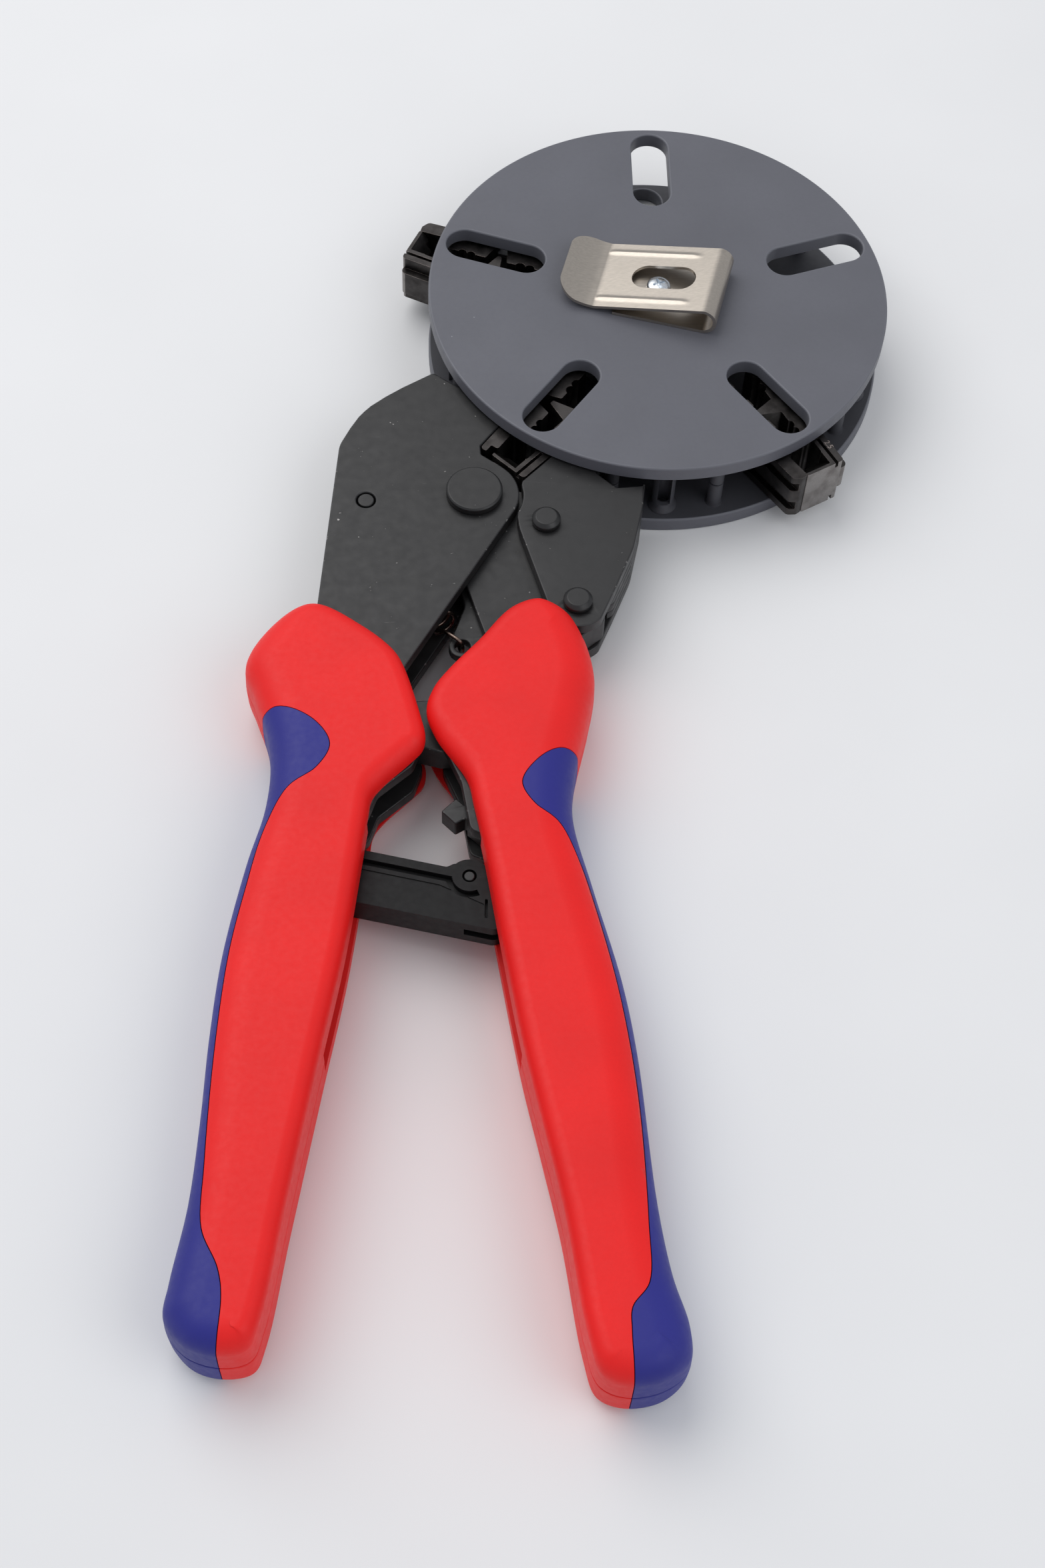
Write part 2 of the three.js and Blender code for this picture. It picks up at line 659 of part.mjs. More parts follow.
const stayBracket = rounded([
  ...arc(STAY_PIVOT, 3.4, 95, 265, 7),
  [-37, -158.4, 3],
  [-27, -158.6, 2.5],
  [-26.6, -151.6, 2.5],
  [-37, -152.4, 3],
]);
const bracketHoles = [circle(STAY_PIVOT, STAY_PIN + GAP, 12), circle(BRACKET_RIVET, SMALL_PIN + GAP, 12)];
const bracketSlab = slabGeometry(stayBracket, -BRACKET_HALF, BRACKET_HALF, bracketHoles);
add("stay_bracket", bracketSlab, blackSteel);
add("bracket_rivet", plainPin(BRACKET_RIVET, SMALL_PIN, PLATE_OUTER, 12), pinSteel);

// ---------------------------------------------------------------- handle shells

const GRIP_EDGE = 2.4; // rounding of the shells' outer edges
const INLAY_DEPTH = 2.4; // depth of the soft inlay over the lobe
const SKIN = 1.5; // red plastic left between the hollow and the soft inlay
const ABOVE_ALL = 30; // a height clear of every part

const leftOutline = smooth([
  [-78.6, -91.2], [-68.6, -97], [-62, -103], [-59.7, -107], [-55.7, -120.6], [-54.8, -125.2],
  [-55.4, -128.4], [-57.8, -131.4], [-63.4, -137.2], [-65.8, -140.6], [-66.6, -145.4],
  [-70.5, -175], [-75, -200], [-80.3, -230], [-84, -251.5], [-86.2, -257], [-92, -258.2],
  [-98.4, -256], [-102.6, -250.6], [-101.8, -244], [-99.2, -229], [-97.9, -212], [-97.1, -194],
  [-95.5, -176], [-91.6, -155], [-88.4, -142], [-87.7, -131.4], [-89, -122.4], [-92, -113.4],
  [-94.1, -107], [-92.6, -101.2], [-85.4, -92.8],
], 70);
const leftInlayLine = smoothLine([
  [-97, -117.8], [-90.5, -119.4], [-86.4, -118.9], [-78.4, -123], [-74.9, -129], [-77.6, -134.8],
  [-83.7, -139.6], [-87.8, -148], [-91.2, -163], [-93.7, -177], [-95.5, -200], [-96, -222],
  [-95.7, -235], [-92.2, -243], [-91.3, -248.6], [-92.4, -262],
], 32);
const leftCavitySide = [
  [-86, -84], [-88, -99], [-88.6, -107], [-85.2, -121], [-85, -138], [-88, -158],
  [-90.6, -178], [-92.4, -212], [-92.8, -237.5], [-84.4, -237.5],
];
const leftCavityMouth = [[-70, -149.4], [-66, -145.5], [-50, -145.5], [-50, -84]];
const leftSlot = [[-62, -140], [-80, -140], [-83, -197], [-70, -197]];

const rightOutline = smooth([
  [-30, -89.4], [-23.8, -92], [-20.7, -97], [-18.3, -108.6], [-19.6, -117], [-23.4, -134],
  [-23.9, -144.3], [-20.3, -160.5], [-15.1, -182], [-12.7, -198], [-10.2, -229], [-8, -243],
  [-5.3, -252.8], [-5.6, -259.2], [-10.4, -263.4], [-17.5, -264.6], [-22.4, -262], [-24.8, -254.6],
  [-28.4, -231.4], [-32, -214], [-35.6, -197], [-39.3, -175], [-42.8, -153], [-44.9, -142],
  [-46.3, -135.8], [-52.8, -125.4], [-54.9, -118.6], [-53.5, -113.2], [-50.2, -108.2],
  [-43.8, -100.7], [-36.4, -91.8],
], 70);
const rightInlayLine = smoothLine([
  [-16, -131.8], [-22.4, -129.2], [-26.4, -129.2], [-31.6, -132.8], [-34.7, -138.2], [-32.2, -143.4],
  [-27, -147.6], [-23.4, -155.3], [-19.4, -170], [-15.7, -188.6], [-13.2, -210], [-12.6, -234],
  [-13.1, -246], [-16.4, -250.7], [-16.7, -255], [-16.2, -268],
], 32);
const rightCavitySide = [
  [-14.5, -241.5], [-15.8, -206], [-20.3, -172], [-26, -148], [-24.8, -128], [-21.5, -109],
  [-22.4, -99.4], [-10, -97], [-10, -84],
];
const rightCavityMouth = [[-60, -84], [-60, -149.5], [-42.4, -149.5], [-24.2, -241.5]];
const rightSlot = [[-50, -140], [-34.6, -140], [-28.6, -197], [-44, -197]];

// Two half shells with soft inlays let into their outer sides. The cavity side runs along the
// outer wall; the inlay reaches in as far as a skin of red plastic round the cavity.
function addGrip(side, grip) {
  const outer = softSlab(grip.outline, GRIP_HALF, GRIP_EDGE);
  const hollow = [...grip.cavitySide, ...grip.cavityMouth];
  const cavity = slab(hollow, -CAVITY_HALF, CAVITY_HALF);
  const slot = slab(grip.slot, -PLATE_INNER, PLATE_INNER);
  const skinLine = moved(grip.cavitySide, -SKIN);
  const behind = [...skinLine, ...grip.cavityMouth];
  const floorHeight = GRIP_HALF - INLAY_DEPTH;
  const inlayRegion = (shift, reach, height) => {
    const line = moved(grip.inlayLine, shift);
    const region = slab([...line, ...grip.inlayOutside], -ABOVE_ALL, ABOVE_ALL);
    const kept = slab(moved(behind, reach), -height, height);
    return outer.intersect(region.subtract(kept));
  };
  const soft = inlayRegion(-grip.inward * (GAP / 2), 0, floorHeight);
  const pocket = inlayRegion(grip.inward * (GAP / 2), GAP, floorHeight - GAP);
  const hard = outer.subtract(pocket).subtract(cavity).subtract(slot);
  const around = [[-130, -60], [-130, -290], [10, -290], [10, -60]]; // wider than both grips
  const levels = { upper: [SEAM_HALF, ABOVE_ALL], lower: [-ABOVE_ALL, -SEAM_HALF] };
  Object.entries(levels).forEach(([level, [low, high]]) => {
    const half = slab(around, low, high);
    add(`${side}_grip_${level}`, hard.intersect(half), redPlastic);
    add(`${side}_inlay_${level}`, soft.intersect(half), bluePlastic);
  });
}

addGrip("left", {
  outline: leftOutline,
  inlayLine: leftInlayLine,
  inlayOutside: [[-120, -262], [-120, -116.8]],
  inward: 1,
  cavitySide: leftCavitySide,
  cavityMouth: leftCavityMouth,
  slot: leftSlot,
});
addGrip("right", {
  outline: rightOutline,
  inlayLine: rightInlayLine,
  inlayOutside: [[10, -268], [10, -129.4]],
  inward: -1,
  cavitySide: rightCavitySide,
  cavityMouth: rightCavityMouth,
  slot: rightSlot,
});

// ---------------------------------------------------------------- dies

const NEST_PAIRS = [[32.4, 34.8, 1.3], [47.4, 49.6, 1.1]]; // places of two lobes and their radius
const TOOTH = { inner: 38.8, outer: 43.2, tipInner: 40.4, tipOuter: 41.4, reach: 5.6 };
const DEEP_START = 53; // a deep nest runs from here to the end wall
const WALL_START = 59.8;
const WALL_REACH = 4.9; // the open half's end wall reaches this far across the split
const TOOTH_GAP = 0.5;
const MATING = SEAM_HALF; // each mating face lies this far behind the split
const PLATE_GROOVE = { low: 2, high: 4.6, depth: 0.7 };
const TOP_SLOT = { near: -2.8, far: -3.4, depth: 1.5 };

// Plan of the fixed half: notched for the other half's tooth and end wall.
const fixedHalfPlan = [
  [DIE_START, MATING, 0.4],
  [TOOTH.inner - TOOTH_GAP, MATING, 0.4],
  [TOOTH.tipInner - TOOTH_GAP, TOOTH.reach + 0.3, 0.3],
  [TOOTH.tipOuter + TOOTH_GAP, TOOTH.reach + 0.3, 0.3],
  [TOOTH.outer + TOOTH_GAP, MATING, 0.4],
  [DEEP_START, MATING, 0.6],
  [DEEP_START, 3.4, 0.8],
  [WALL_START - GAP, 3.4, 0.5],
  [WALL_START - GAP, WALL_REACH + GAP, 0.3],
  [DIE_END - 0.9, WALL_REACH + GAP, 0.3],
  [DIE_END - 0.9, DIE_TONGUE, 1.5],
  [DIE_START, DIE_TONGUE, 0.8],
];

// Plan of the open half, whose body ends in a wall that reaches across the split.
const openHalfPlan = [
  [DIE_START, -MATING, 0.4],
  [TOOTH.inner, -MATING, 0.4],
  [TOOTH.tipInner, TOOTH.reach, 0.3],
  [TOOTH.tipOuter, TOOTH.reach, 0.3],
  [TOOTH.outer, -MATING, 0.4],
  [DEEP_START, -MATING, 0.6],
  [DEEP_START, -1.8, 0.8],
  [WALL_START, -1.8, 0.8],
  [WALL_START, WALL_REACH, 0.4],
  [DIE_END - 0.2, WALL_REACH, 0.4],
  [DIE_END - 0.2, -DIE_BODY, 0.8],
  [DIE_START, -DIE_BODY, 0.8],
];

// One half of a die set. Side 1 is the fixed half, side -1 the half that stands open.
function dieHalf(station, side) {
  const place = side > 0 ? onStation : onOpenSide;
  const at = ([s, w, radius]) => [...place(station, s, SPLIT_OFFSET + w), radius];
  const box = (from, to, near, far, low, high) =>
    slab(rounded([[from, near, 0], [to, near, 0], [to, far, 0], [from, far, 0]].map(at)), low, high);
  let half = slab(rounded((side > 0 ? fixedHalfPlan : openHalfPlan).map(at)), -DIE_HALF, DIE_HALF);
  if (side > 0) {
    // A groove above and below the tongue takes the edges of the jaw's outer plates.
    const { low, high, depth } = PLATE_GROOVE;
    [[low, high], [-high, -low]].forEach((heights) => {
      const [near, far] = [DIE_TONGUE - depth, DIE_TONGUE + PAST];
      half = half.subtract(box(DIE_START - PAST, DIE_END + PAST, near, far, ...heights));
    });
  } else {
    const tongue = [
      [DIE_START + 3, 1 - DIE_BODY, 0],
      [DIE_END - 0.6, 1 - DIE_BODY, 0],
      [DIE_END - 0.6, -DIE_TONGUE, 1.2],
      [DIE_START + 3, -DIE_TONGUE, 1.2],
    ];
    half = half.add(slab(rounded(tongue.map(at)), 0.1 - CORE_HALF, CORE_HALF - 0.1));
    const { near, far, depth } = TOP_SLOT;
    const heights = [DIE_HALF - depth, DIE_HALF + PAST];
    half = half.subtract(box(DEEP_START, DIE_END + PAST, far, near, ...heights));
  }
  NEST_PAIRS.forEach(([first, second, radius]) => {
    [first, second].forEach((s) => {
      const [x, y] = at([s, -side * 0.2, 0]);
      half = half.subtract(slab(circle([x, y], radius, 12), -DIE_HALF - PAST, DIE_HALF + PAST));
    });
  });
  return half;
}

const dieSets = { jaw: DOCKED_STATION, stored_left: STORED_STATIONS.left };
dieSets.stored_right = STORED_STATIONS.right;
Object.entries(dieSets).forEach(([name, station]) => {
  add(`${name}_die_a`, dieHalf(station, 1), dieSteel);
  add(`${name}_die_b`, dieHalf(station, -1), dieSteel);
});

// ---------------------------------------------------------------- magazine

const stations = Array.from({ length: STATION_COUNT }, (_, i) => DOCKED_STATION + i * STATION_STEP);

function stationSlot(station) {
  const r = SLOT_WIDTH / 2;
  const inner = onStation(station, SLOT_START + r, 0);
  const outer = onStation(station, SLOT_END - r, 0);
  return [
    ...arc(inner, r, station + 90, station + 270, 6),
    ...arc(outer, r, station - 90, station + 90, 6),
  ];
}

function disc(direction, holes) {
  const rim = circle([0, 0], DISC_RADIUS, 64);
  const low = direction > 0 ? DISC_INNER : -DISC_OUTER;
  let body = slab(rim, low, low + DISC_OUTER - DISC_INNER, [...stations.map(stationSlot), ...holes]);
  stations.forEach((station) => {
    [-POST_ANGLE, POST_ANGLE].forEach((offset) => {
      const foot = circle(polar([0, 0], POST_CIRCLE, station + offset), POST_RADIUS, 8);
      const heights = [SEAM_HALF * direction, (DISC_INNER + 1) * direction];
      body = body.add(slab(foot, Math.min(...heights), Math.max(...heights)));
    });
  });
  return body;
}
add("magazine_disc_top", disc(1, [circle([0, 0], CLIP_SCREW + GAP, 16)]), greyPlastic);
add("magazine_disc_bottom", disc(-1, []), greyPlastic);

const hubEnd = DISC_INNER - 0.1;
const screwDepth = 4.6; // depth of the clip screw's tip below the mid-plane
const hubProfile = [
  [0, -hubEnd],
  [HUB_RADIUS, -hubEnd],
  [HUB_RADIUS, hubEnd],
  [CLIP_SCREW + GAP, hubEnd],
  [CLIP_SCREW + GAP, -screwDepth - 0.8],
  [0, -screwDepth - 0.8],
];
add("magazine_hub", turnedPart([0, 0], hubProfile, 36), greyPlastic);

stations.forEach((station, i) => {
  const center = polar([0, 0], COLUMN_CIRCLE, station + STATION_STEP / 2);
  const end = DISC_INNER - 0.1;
  const profile = [
    [1.5, -end],
    [COLUMN_RADIUS + 0.8, -end],
    [COLUMN_RADIUS, -end + 1.6],
    [COLUMN_RADIUS, end - 1.6],
    [COLUMN_RADIUS + 0.8, end],
    [1.5, end],
    [1.5, -end],
  ];
  add(`spacer_column_${i + 1}`, turnedPart(center, profile, 12), greyPlastic);
});

// ---------------------------------------------------------------- belt clip

// A strip bent from sheet: under leaf, round fold, sloping upper leaf and a flared tip.
function beltClip() {
  const base = DISC_OUTER + 0.1 + CLIP_SHEET / 2;
  const foldRadius = (CLIP_RISE - CLIP_SHEET) / 2;
  const foldCenter = [12.4, base + foldRadius];
  const centreLine = [
    [-9, base],
    ...arc(foldCenter, foldRadius, -90, 84, 8),
    [-13.6, base + 0.7],
    [-16, base + 0.9],
    [-23, base + 3.6],
  ];
  const profile = [
    ...moved(centreLine, CLIP_SHEET / 2),
    ...moved(centreLine, -CLIP_SHEET / 2).reverse(),
  ];
  const geometry = slabGeometry(profile, -CLIP_WIDTH / 2, CLIP_WIDTH / 2);
  geometry.rotateX(Math.PI / 2);
  const half = CLIP_WIDTH / 2;
  const plan = rounded([[-23.2, -half, 5.5], [20, -half, 0], [20, half, 0], [-23.2, half, 5.5]]);
  const window = [...arc([-3.6, 0], 4.3, 90, 270, 6), ...arc([5, 0], 4.3, -90, 90, 6)];
  const cutWindow = slab(window, base + 1.4, base + CLIP_RISE + 2);
  const cutScrew = slab(circle([0, 0], CLIP_SCREW + GAP, 14), base - 2, base + 1);
  const strip = solid(geometry).intersect(slab(plan, base - 2, base + CLIP_RISE + 2));
  return strip.subtract(cutWindow).subtract(cutScrew).rotate([0, 0, CLIP_ANGLE]);
}
add("belt_clip", beltClip(), clipSteel);

const headBase = DISC_OUTER + 0.1 + CLIP_SHEET + 0.1;
const screwProfile = [
  [0, -screwDepth],
  [CLIP_SCREW, -screwDepth],
  [CLIP_SCREW, headBase],
  [2.9, headBase],
  [2.8, headBase + 0.9],
  [1.6, headBase + 1.5],
  [0, headBase + 1.6],
];
add("clip_screw", turnedPart([0, 0], screwProfile, 20), zincSteel);

// ---------------------------------------------------------------- frame

const bounds = new THREE.Box3().setFromObject(model);
const middle = bounds.getCenter(new THREE.Vector3());
model.position.set(-middle.x, -middle.y, -bounds.min.z);

export default model;
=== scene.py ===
import json
import math

import bmesh
import bpy
from mathutils import Matrix, Vector
from mathutils.geometry import tessellate_polygon

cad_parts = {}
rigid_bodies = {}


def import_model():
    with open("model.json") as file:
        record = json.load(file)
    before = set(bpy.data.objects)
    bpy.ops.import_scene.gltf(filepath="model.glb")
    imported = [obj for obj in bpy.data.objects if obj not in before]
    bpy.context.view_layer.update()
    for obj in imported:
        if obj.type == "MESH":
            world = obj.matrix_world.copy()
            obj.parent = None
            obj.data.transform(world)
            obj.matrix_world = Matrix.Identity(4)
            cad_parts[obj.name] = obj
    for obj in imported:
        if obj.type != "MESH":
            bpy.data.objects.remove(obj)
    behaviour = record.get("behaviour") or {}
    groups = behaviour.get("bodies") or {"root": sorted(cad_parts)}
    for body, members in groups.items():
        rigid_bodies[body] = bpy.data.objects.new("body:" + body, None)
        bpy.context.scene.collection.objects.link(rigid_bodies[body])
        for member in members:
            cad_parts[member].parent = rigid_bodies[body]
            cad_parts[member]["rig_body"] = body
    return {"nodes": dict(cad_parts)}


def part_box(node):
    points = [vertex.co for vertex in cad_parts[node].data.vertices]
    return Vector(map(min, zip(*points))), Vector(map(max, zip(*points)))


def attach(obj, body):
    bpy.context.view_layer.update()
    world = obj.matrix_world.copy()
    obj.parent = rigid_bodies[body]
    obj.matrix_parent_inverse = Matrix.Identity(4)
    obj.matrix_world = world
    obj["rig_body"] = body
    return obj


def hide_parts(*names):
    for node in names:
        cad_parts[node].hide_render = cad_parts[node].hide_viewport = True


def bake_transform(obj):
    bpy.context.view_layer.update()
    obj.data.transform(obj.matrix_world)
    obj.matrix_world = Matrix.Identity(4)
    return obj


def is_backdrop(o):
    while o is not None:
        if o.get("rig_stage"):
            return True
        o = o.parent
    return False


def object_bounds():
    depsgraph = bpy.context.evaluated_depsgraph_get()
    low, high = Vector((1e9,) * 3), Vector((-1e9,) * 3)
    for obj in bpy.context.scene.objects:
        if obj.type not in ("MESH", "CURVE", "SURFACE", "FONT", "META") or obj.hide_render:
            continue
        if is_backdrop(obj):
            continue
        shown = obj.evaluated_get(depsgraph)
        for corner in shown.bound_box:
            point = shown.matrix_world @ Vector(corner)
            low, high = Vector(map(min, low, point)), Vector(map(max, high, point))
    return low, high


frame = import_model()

cad_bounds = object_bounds()

# ---------------------------------------------------------------- units and places

MM = 0.001
HUB_LOW, HUB_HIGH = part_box("magazine_hub")
CENTER = (HUB_LOW + HUB_HIGH) / 2  # the magazine's centre, on the tool's mid-plane

GRIP_HALF = 11.2  # half thickness of the handles, mm
CAVITY_HALF = 7.1
PLATE_INNER = 3.8
PLATE_OUTER = 6.8
DISC_RADIUS = 55
DISC_INNER = 7.2
DISC_OUTER = 11.2
STATIONS = [234 + 72 * i for i in range(5)]
SEAM = 0.15


def at(x, y, z=0.0):
    """A point given in mm from the magazine's centre and the mid-plane, in the row frame."""
    return CENTER + Vector((x, y, z)) * MM


def polar(center, radius, degrees):
    angle = math.radians(degrees)
    return (center[0] + radius * math.cos(angle), center[1] + radius * math.sin(angle))


def arc(center, radius, start, end, steps):
    return [polar(center, radius, start + (end - start) * i / steps) for i in range(steps + 1)]


def circle(center, radius, steps=96):
    return arc(center, radius, 0, 360 - 360 / steps, steps - 1)


def on_station(station, s, v):
    """A point s mm out along a station and v mm to its side."""
    angle = math.radians(station)
    cos, sin = math.cos(angle), math.sin(angle)
    return (s * cos + v * sin, s * sin - v * cos)


def clamp(value, low=0.0, high=1.0):
    return max(low, min(high, value))


def mix(a, b, share):
    return a + (b - a) * share


# ---------------------------------------------------------------- outlines


def catmull(points, closed, per_span):
    """A centripetal Catmull-Rom line through its points."""
    count = len(points)
    spans = count if closed else count - 1
    vectors = [Vector(p) for p in points]

    def pick(i):
        if closed:
            return vectors[i % count]
        if i < 0:
            return vectors[0] * 2 - vectors[1]
        if i >= count:
            return vectors[-1] * 2 - vectors[-2]
        return vectors[i]

    line = []
    for i in range(spans):
        p0, p1, p2, p3 = (pick(i + k) for k in (-1, 0, 1, 2))
        d0, d1, d2 = ((b - a).length ** 0.5 for a, b in ((p0, p1), (p1, p2), (p2, p3)))
        m1 = ((p1 - p0) / d0 - (p2 - p0) / (d0 + d1) + (p2 - p1) / d1) * d1
        m2 = ((p2 - p1) / d1 - (p3 - p1) / (d1 + d2) + (p3 - p2) / d2) * d1
        line += [hermite(p1, m1, p2, m2, k / per_span) for k in range(per_span)]
    if not closed:
        line.append(vectors[-1])
    return [tuple(p) for p in line]


def hermite(p, m, q, n, t):
    t2, t3 = t * t, t * t * t
    return p * (2 * t3 - 3 * t2 + 1) + m * (t3 - 2 * t2 + t) + q * (3 * t2 - 2 * t3) + n * (t3 - t2)


def node_loops(node):
    """The outlines of an upright slab's top face, in mm about the magazine's centre."""
    mesh = frame["nodes"][node].data
    top = max(v.co.z for v in mesh.vertices)
    edges = set()
    places = {}
    for face in mesh.polygons:
        corners = [mesh.vertices[i].co for i in face.vertices]
        if min(c.z for c in corners) < top - 1e-6:
            continue
        keys = [(round(c.x * 2e6), round(c.y * 2e6)) for c in corners]
        for key, corner in zip(keys, corners):
            places[key] = ((corner.x - CENTER.x) / MM, (corner.y - CENTER.y) / MM)
        edges.update(zip(keys, keys[1:] + keys[:1]))
    following = {a: b for a, b in edges if (b, a) not in edges}
    loops = []
    while following:
        start, key = following.popitem()
        loop = [start]
        while key != start:
            loop.append(key)
            key = following.pop(key)
        loops.append(without_flat([places[k] for k in loop]))
    return loops


def without_flat(loop):
    """The loop without points that lie on a straight edge or on each other."""
    kept = []
    count = len(loop)
    for i, point in enumerate(loop):
        before = Vector(point) - Vector(kept[-1] if kept else loop[i - 1])
        after = Vector(loop[(i + 1) % count]) - Vector(point)
        if before.length > 1e-4 and after.length > 1e-4 and abs(before.angle_signed(after)) > 0.004:
            kept.append(point)
    return kept


CORNER = math.radians(38)  # a sharper turn than this is a real corner
STRAIGHT = 2.2  # an edge this much longer than its neighbour is a straight run into a fillet


def refined(loop, turn=math.radians(6)):
    """The loop with its faceted fillets and circles made smooth."""
    points = [Vector(p) for p in loop]
    count = len(points)
    edges = [points[(i + 1) % count] - points[i] for i in range(count)]
    arriving, leaving = [], []
    for i in range(count):
        a, b = edges[i - 1], edges[i]
        u, v = a.normalized(), b.normalized()
        if abs(u.angle_signed(v)) > CORNER:
            arriving.append(u)
            leaving.append(v)
            continue
        if a.length > STRAIGHT * b.length:
            tangent = u
        elif b.length > STRAIGHT * a.length:
            tangent = v
        else:
            tangent = (u / a.length + v / b.length).normalized()
        arriving.append(tangent)
        leaving.append(tangent)
    line = []
    for i in range(count):
        j = (i + 1) % count
        reach = edges[i].length
        bend = abs(leaving[i].angle_signed(arriving[j]))
        steps = max(1, math.ceil(bend / turn))
        m, n = leaving[i] * reach, arriving[j] * reach
        line += [tuple(hermite(points[i], m, points[j], n, k / steps)) for k in range(steps)]
    return line


def inset(loop, distances):
    """The loop moved to its left, which is into the material, by a distance at each point."""
    count = len(loop)
    result = []
    for i in range(count):
        p = Vector(loop[i])
        a = (p - Vector(loop[i - 1])).normalized()
        b = (Vector(loop[(i + 1) % count]) - p).normalized()
        n1, n2 = Vector((-a.y, a.x)), Vector((-b.y, b.x))
        shift = (n1 + n2) / max(1 + n1.dot(n2), 0.5)
        result.append(tuple(p + shift * distances[i]))
    return result


def rounded(corners, turn=12):
    """An outline whose corners (x, y, radius) are rounded."""
    points = []
    count = len(corners)
    for i, (x, y, radius) in enumerate(corners):
        corner = Vector((x, y))
        if not radius:
            points.append((x, y))
            continue
        back = Vector(corners[i - 1][:2]) - corner
        ahead = Vector(corners[(i + 1) % count][:2]) - corner
        room = 0.48 * min(back.length, ahead.length)
        back.normalize()
        ahead.normalize()
        half = math.acos(clamp(back.dot(ahead), -1, 1)) / 2
        reach = min(radius / math.tan(half), room)
        center = corner + (back + ahead).normalized() * (reach / math.cos(half))
        first, last = corner + back * reach - center, corner + ahead * reach - center
        sweep = math.atan2(first.x * last.y - first.y * last.x, first.dot(last))
        start = math.atan2(first.y, first.x)
        steps = max(1, math.ceil(abs(sweep) / math.radians(turn)))
        begin, end = math.degrees(start), math.degrees(start + sweep)
        points += arc(tuple(center), first.length, begin, end, steps)
    return points


def turned_left(loop):
    """The loop running anticlockwise."""
    area = sum(loop[i - 1][0] * loop[i][1] - loop[i][0] * loop[i - 1][1] for i in range(len(loop)))
    return loop if area > 0 else loop[::-1]


# ---------------------------------------------------------------- meshes


def rise(edge, steps):
    """Inset and height of each step of a rounded edge, from its flat face to the wall."""
    angles = [math.pi / 2 * k / steps for k in range(steps + 1)]
    return [(edge * (1 - math.sin(a)), edge * (1 - math.cos(a))) for a in angles]


def prism(loops, low, high, edge=0.3, steps=3):
    """Vertices, faces and edge faces of a slab between two heights, with rounded rims."""
    rings = [([i], low + h) for i, h in rise(edge, steps)]
    rings += [([i], high - h) for i, h in reversed(rise(edge, steps))]
    return sweep_rings(loops, rings, (steps, steps))


def sweep_rings(loops, rings, rounded):
    """Skins outlines through rings of (insets, height) and closes both ends.

    An inset list holds one value for every point, or a single value for all.
    rounded is how many of the lowest and highest spans belong to the rims.
    """
    vertices, faces, marks = [], [], []
    starts = []
    for insets, z in rings:
        ring = []
        for loop in loops:
            spread = insets * len(loop) if len(insets) == 1 else insets
            ring.append(inset(loop, spread))
        starts.append(len(vertices))
        vertices += [at(x, y, z) for loop in ring for x, y in loop]
    spans = len(rings) - 1
    for r in range(spans):
        first = 0
        for loop in loops:
            count = len(loop)
            for i in range(count):
                a, b = first + i, first + (i + 1) % count
                low, high = starts[r], starts[r + 1]
                faces.append((low + a, low + b, high + b, high + a))
                marks.append(r < rounded[0] or r >= spans - rounded[1])
            first += count
    for start, up in ((starts[0], -1), (starts[-1], 1)):
        flat = []
        index = start
        for loop in loops:
            ring = vertices[index:index + len(loop)]
            flat.append([Vector((v.x, v.y, 0)) for v in ring])
            index += len(loop)
        everything = [p for loop in flat for p in loop]
        for tri in tessellate_polygon(flat):
            a, b, c = (everything[i] for i in tri)
            facing = (b - a).cross(c - a).z
            if abs(facing) < 1e-16:
                continue
            order = tri if facing * up > 0 else tri[::-1]
            faces.append(tuple(start + i for i in order))
            marks.append(False)
    return vertices, faces, marks


def lathe(center, profile, steps=72):
    """Vertices, faces and marks of a turned solid from [radius, height] points, bottom axis to top axis."""
    inner = profile[1:-1] if profile[0][0] == 0 else profile
    closed = profile[0][0] != 0
    vertices = [at(*polar(center, r, 360 * i / steps), z) for r, z in inner for i in range(steps)]
    faces = []
    rows = len(inner)
    for row in range(rows if closed else rows - 1):
        for i in range(steps):
            j = (i + 1) % steps
            a, b = row * steps, ((row + 1) % rows) * steps
            faces.append((a + i, a + j, b + j, b + i))
    if not closed:
        faces.append(tuple(range(steps))[::-1])
        faces.append(tuple(range((rows - 1) * steps, rows * steps)))
    return vertices, faces, [False] * len(faces)


def joined(*parts):
    vertices, faces, marks = [], [], []
    for part in parts:
        base = len(vertices)
        vertices += part[0]
        faces += [tuple(base + i for i in face) for face in part[1]]
        marks += part[2]
    return vertices, faces, marks


def make(name, data, materials):
    """A new object from vertices, faces and marks; marked faces take the second material."""
    vertices, faces, marks = data
    mesh = bpy.data.meshes.new(name)
    mesh.from_pydata([tuple(v) for v in vertices], [], faces)
    for face, mark in zip(mesh.polygons, marks):
        face.material_index = 1 if mark and len(materials) > 1 else 0
    mesh.update()
    piece = bpy.data.objects.new(name, mesh)
    bpy.context.scene.collection.objects.link(piece)
    for material in materials:
        mesh.materials.append(material)
    return piece


def baked(piece):
    """Applies the piece's modifiers."""
    bpy.context.view_layer.update()
    graph = bpy.context.evaluated_depsgraph_get()
    mesh = bpy.data.meshes.new_from_object(piece.evaluated_get(graph))
    piece.modifiers.clear()
    piece.data = mesh
    return piece


def cut(piece, tools, operation="DIFFERENCE"):
    """Cuts a piece with closed tool objects, which are then removed."""
    for tool in tools:
        modifier = piece.modifiers.new("cut", "BOOLEAN")
        modifier.object = tool
        modifier.operation = operation
        modifier.solver = "EXACT"
        baked(piece)
        bpy.data.objects.remove(tool)
    return piece


def shaded(piece, sharp=50):
    """Smooth shading that keeps flat faces flat and real corners sharp."""
    mesh = piece.data
    mesh.polygons.foreach_set("use_smooth", [True] * len(mesh.polygons))
    mesh.set_sharp_from_angle(angle=math.radians(sharp))
    modifier = piece.modifiers.new("weighted", "WEIGHTED_NORMAL")
    modifier.keep_sharp = True
    modifier.weight = 60
    return piece


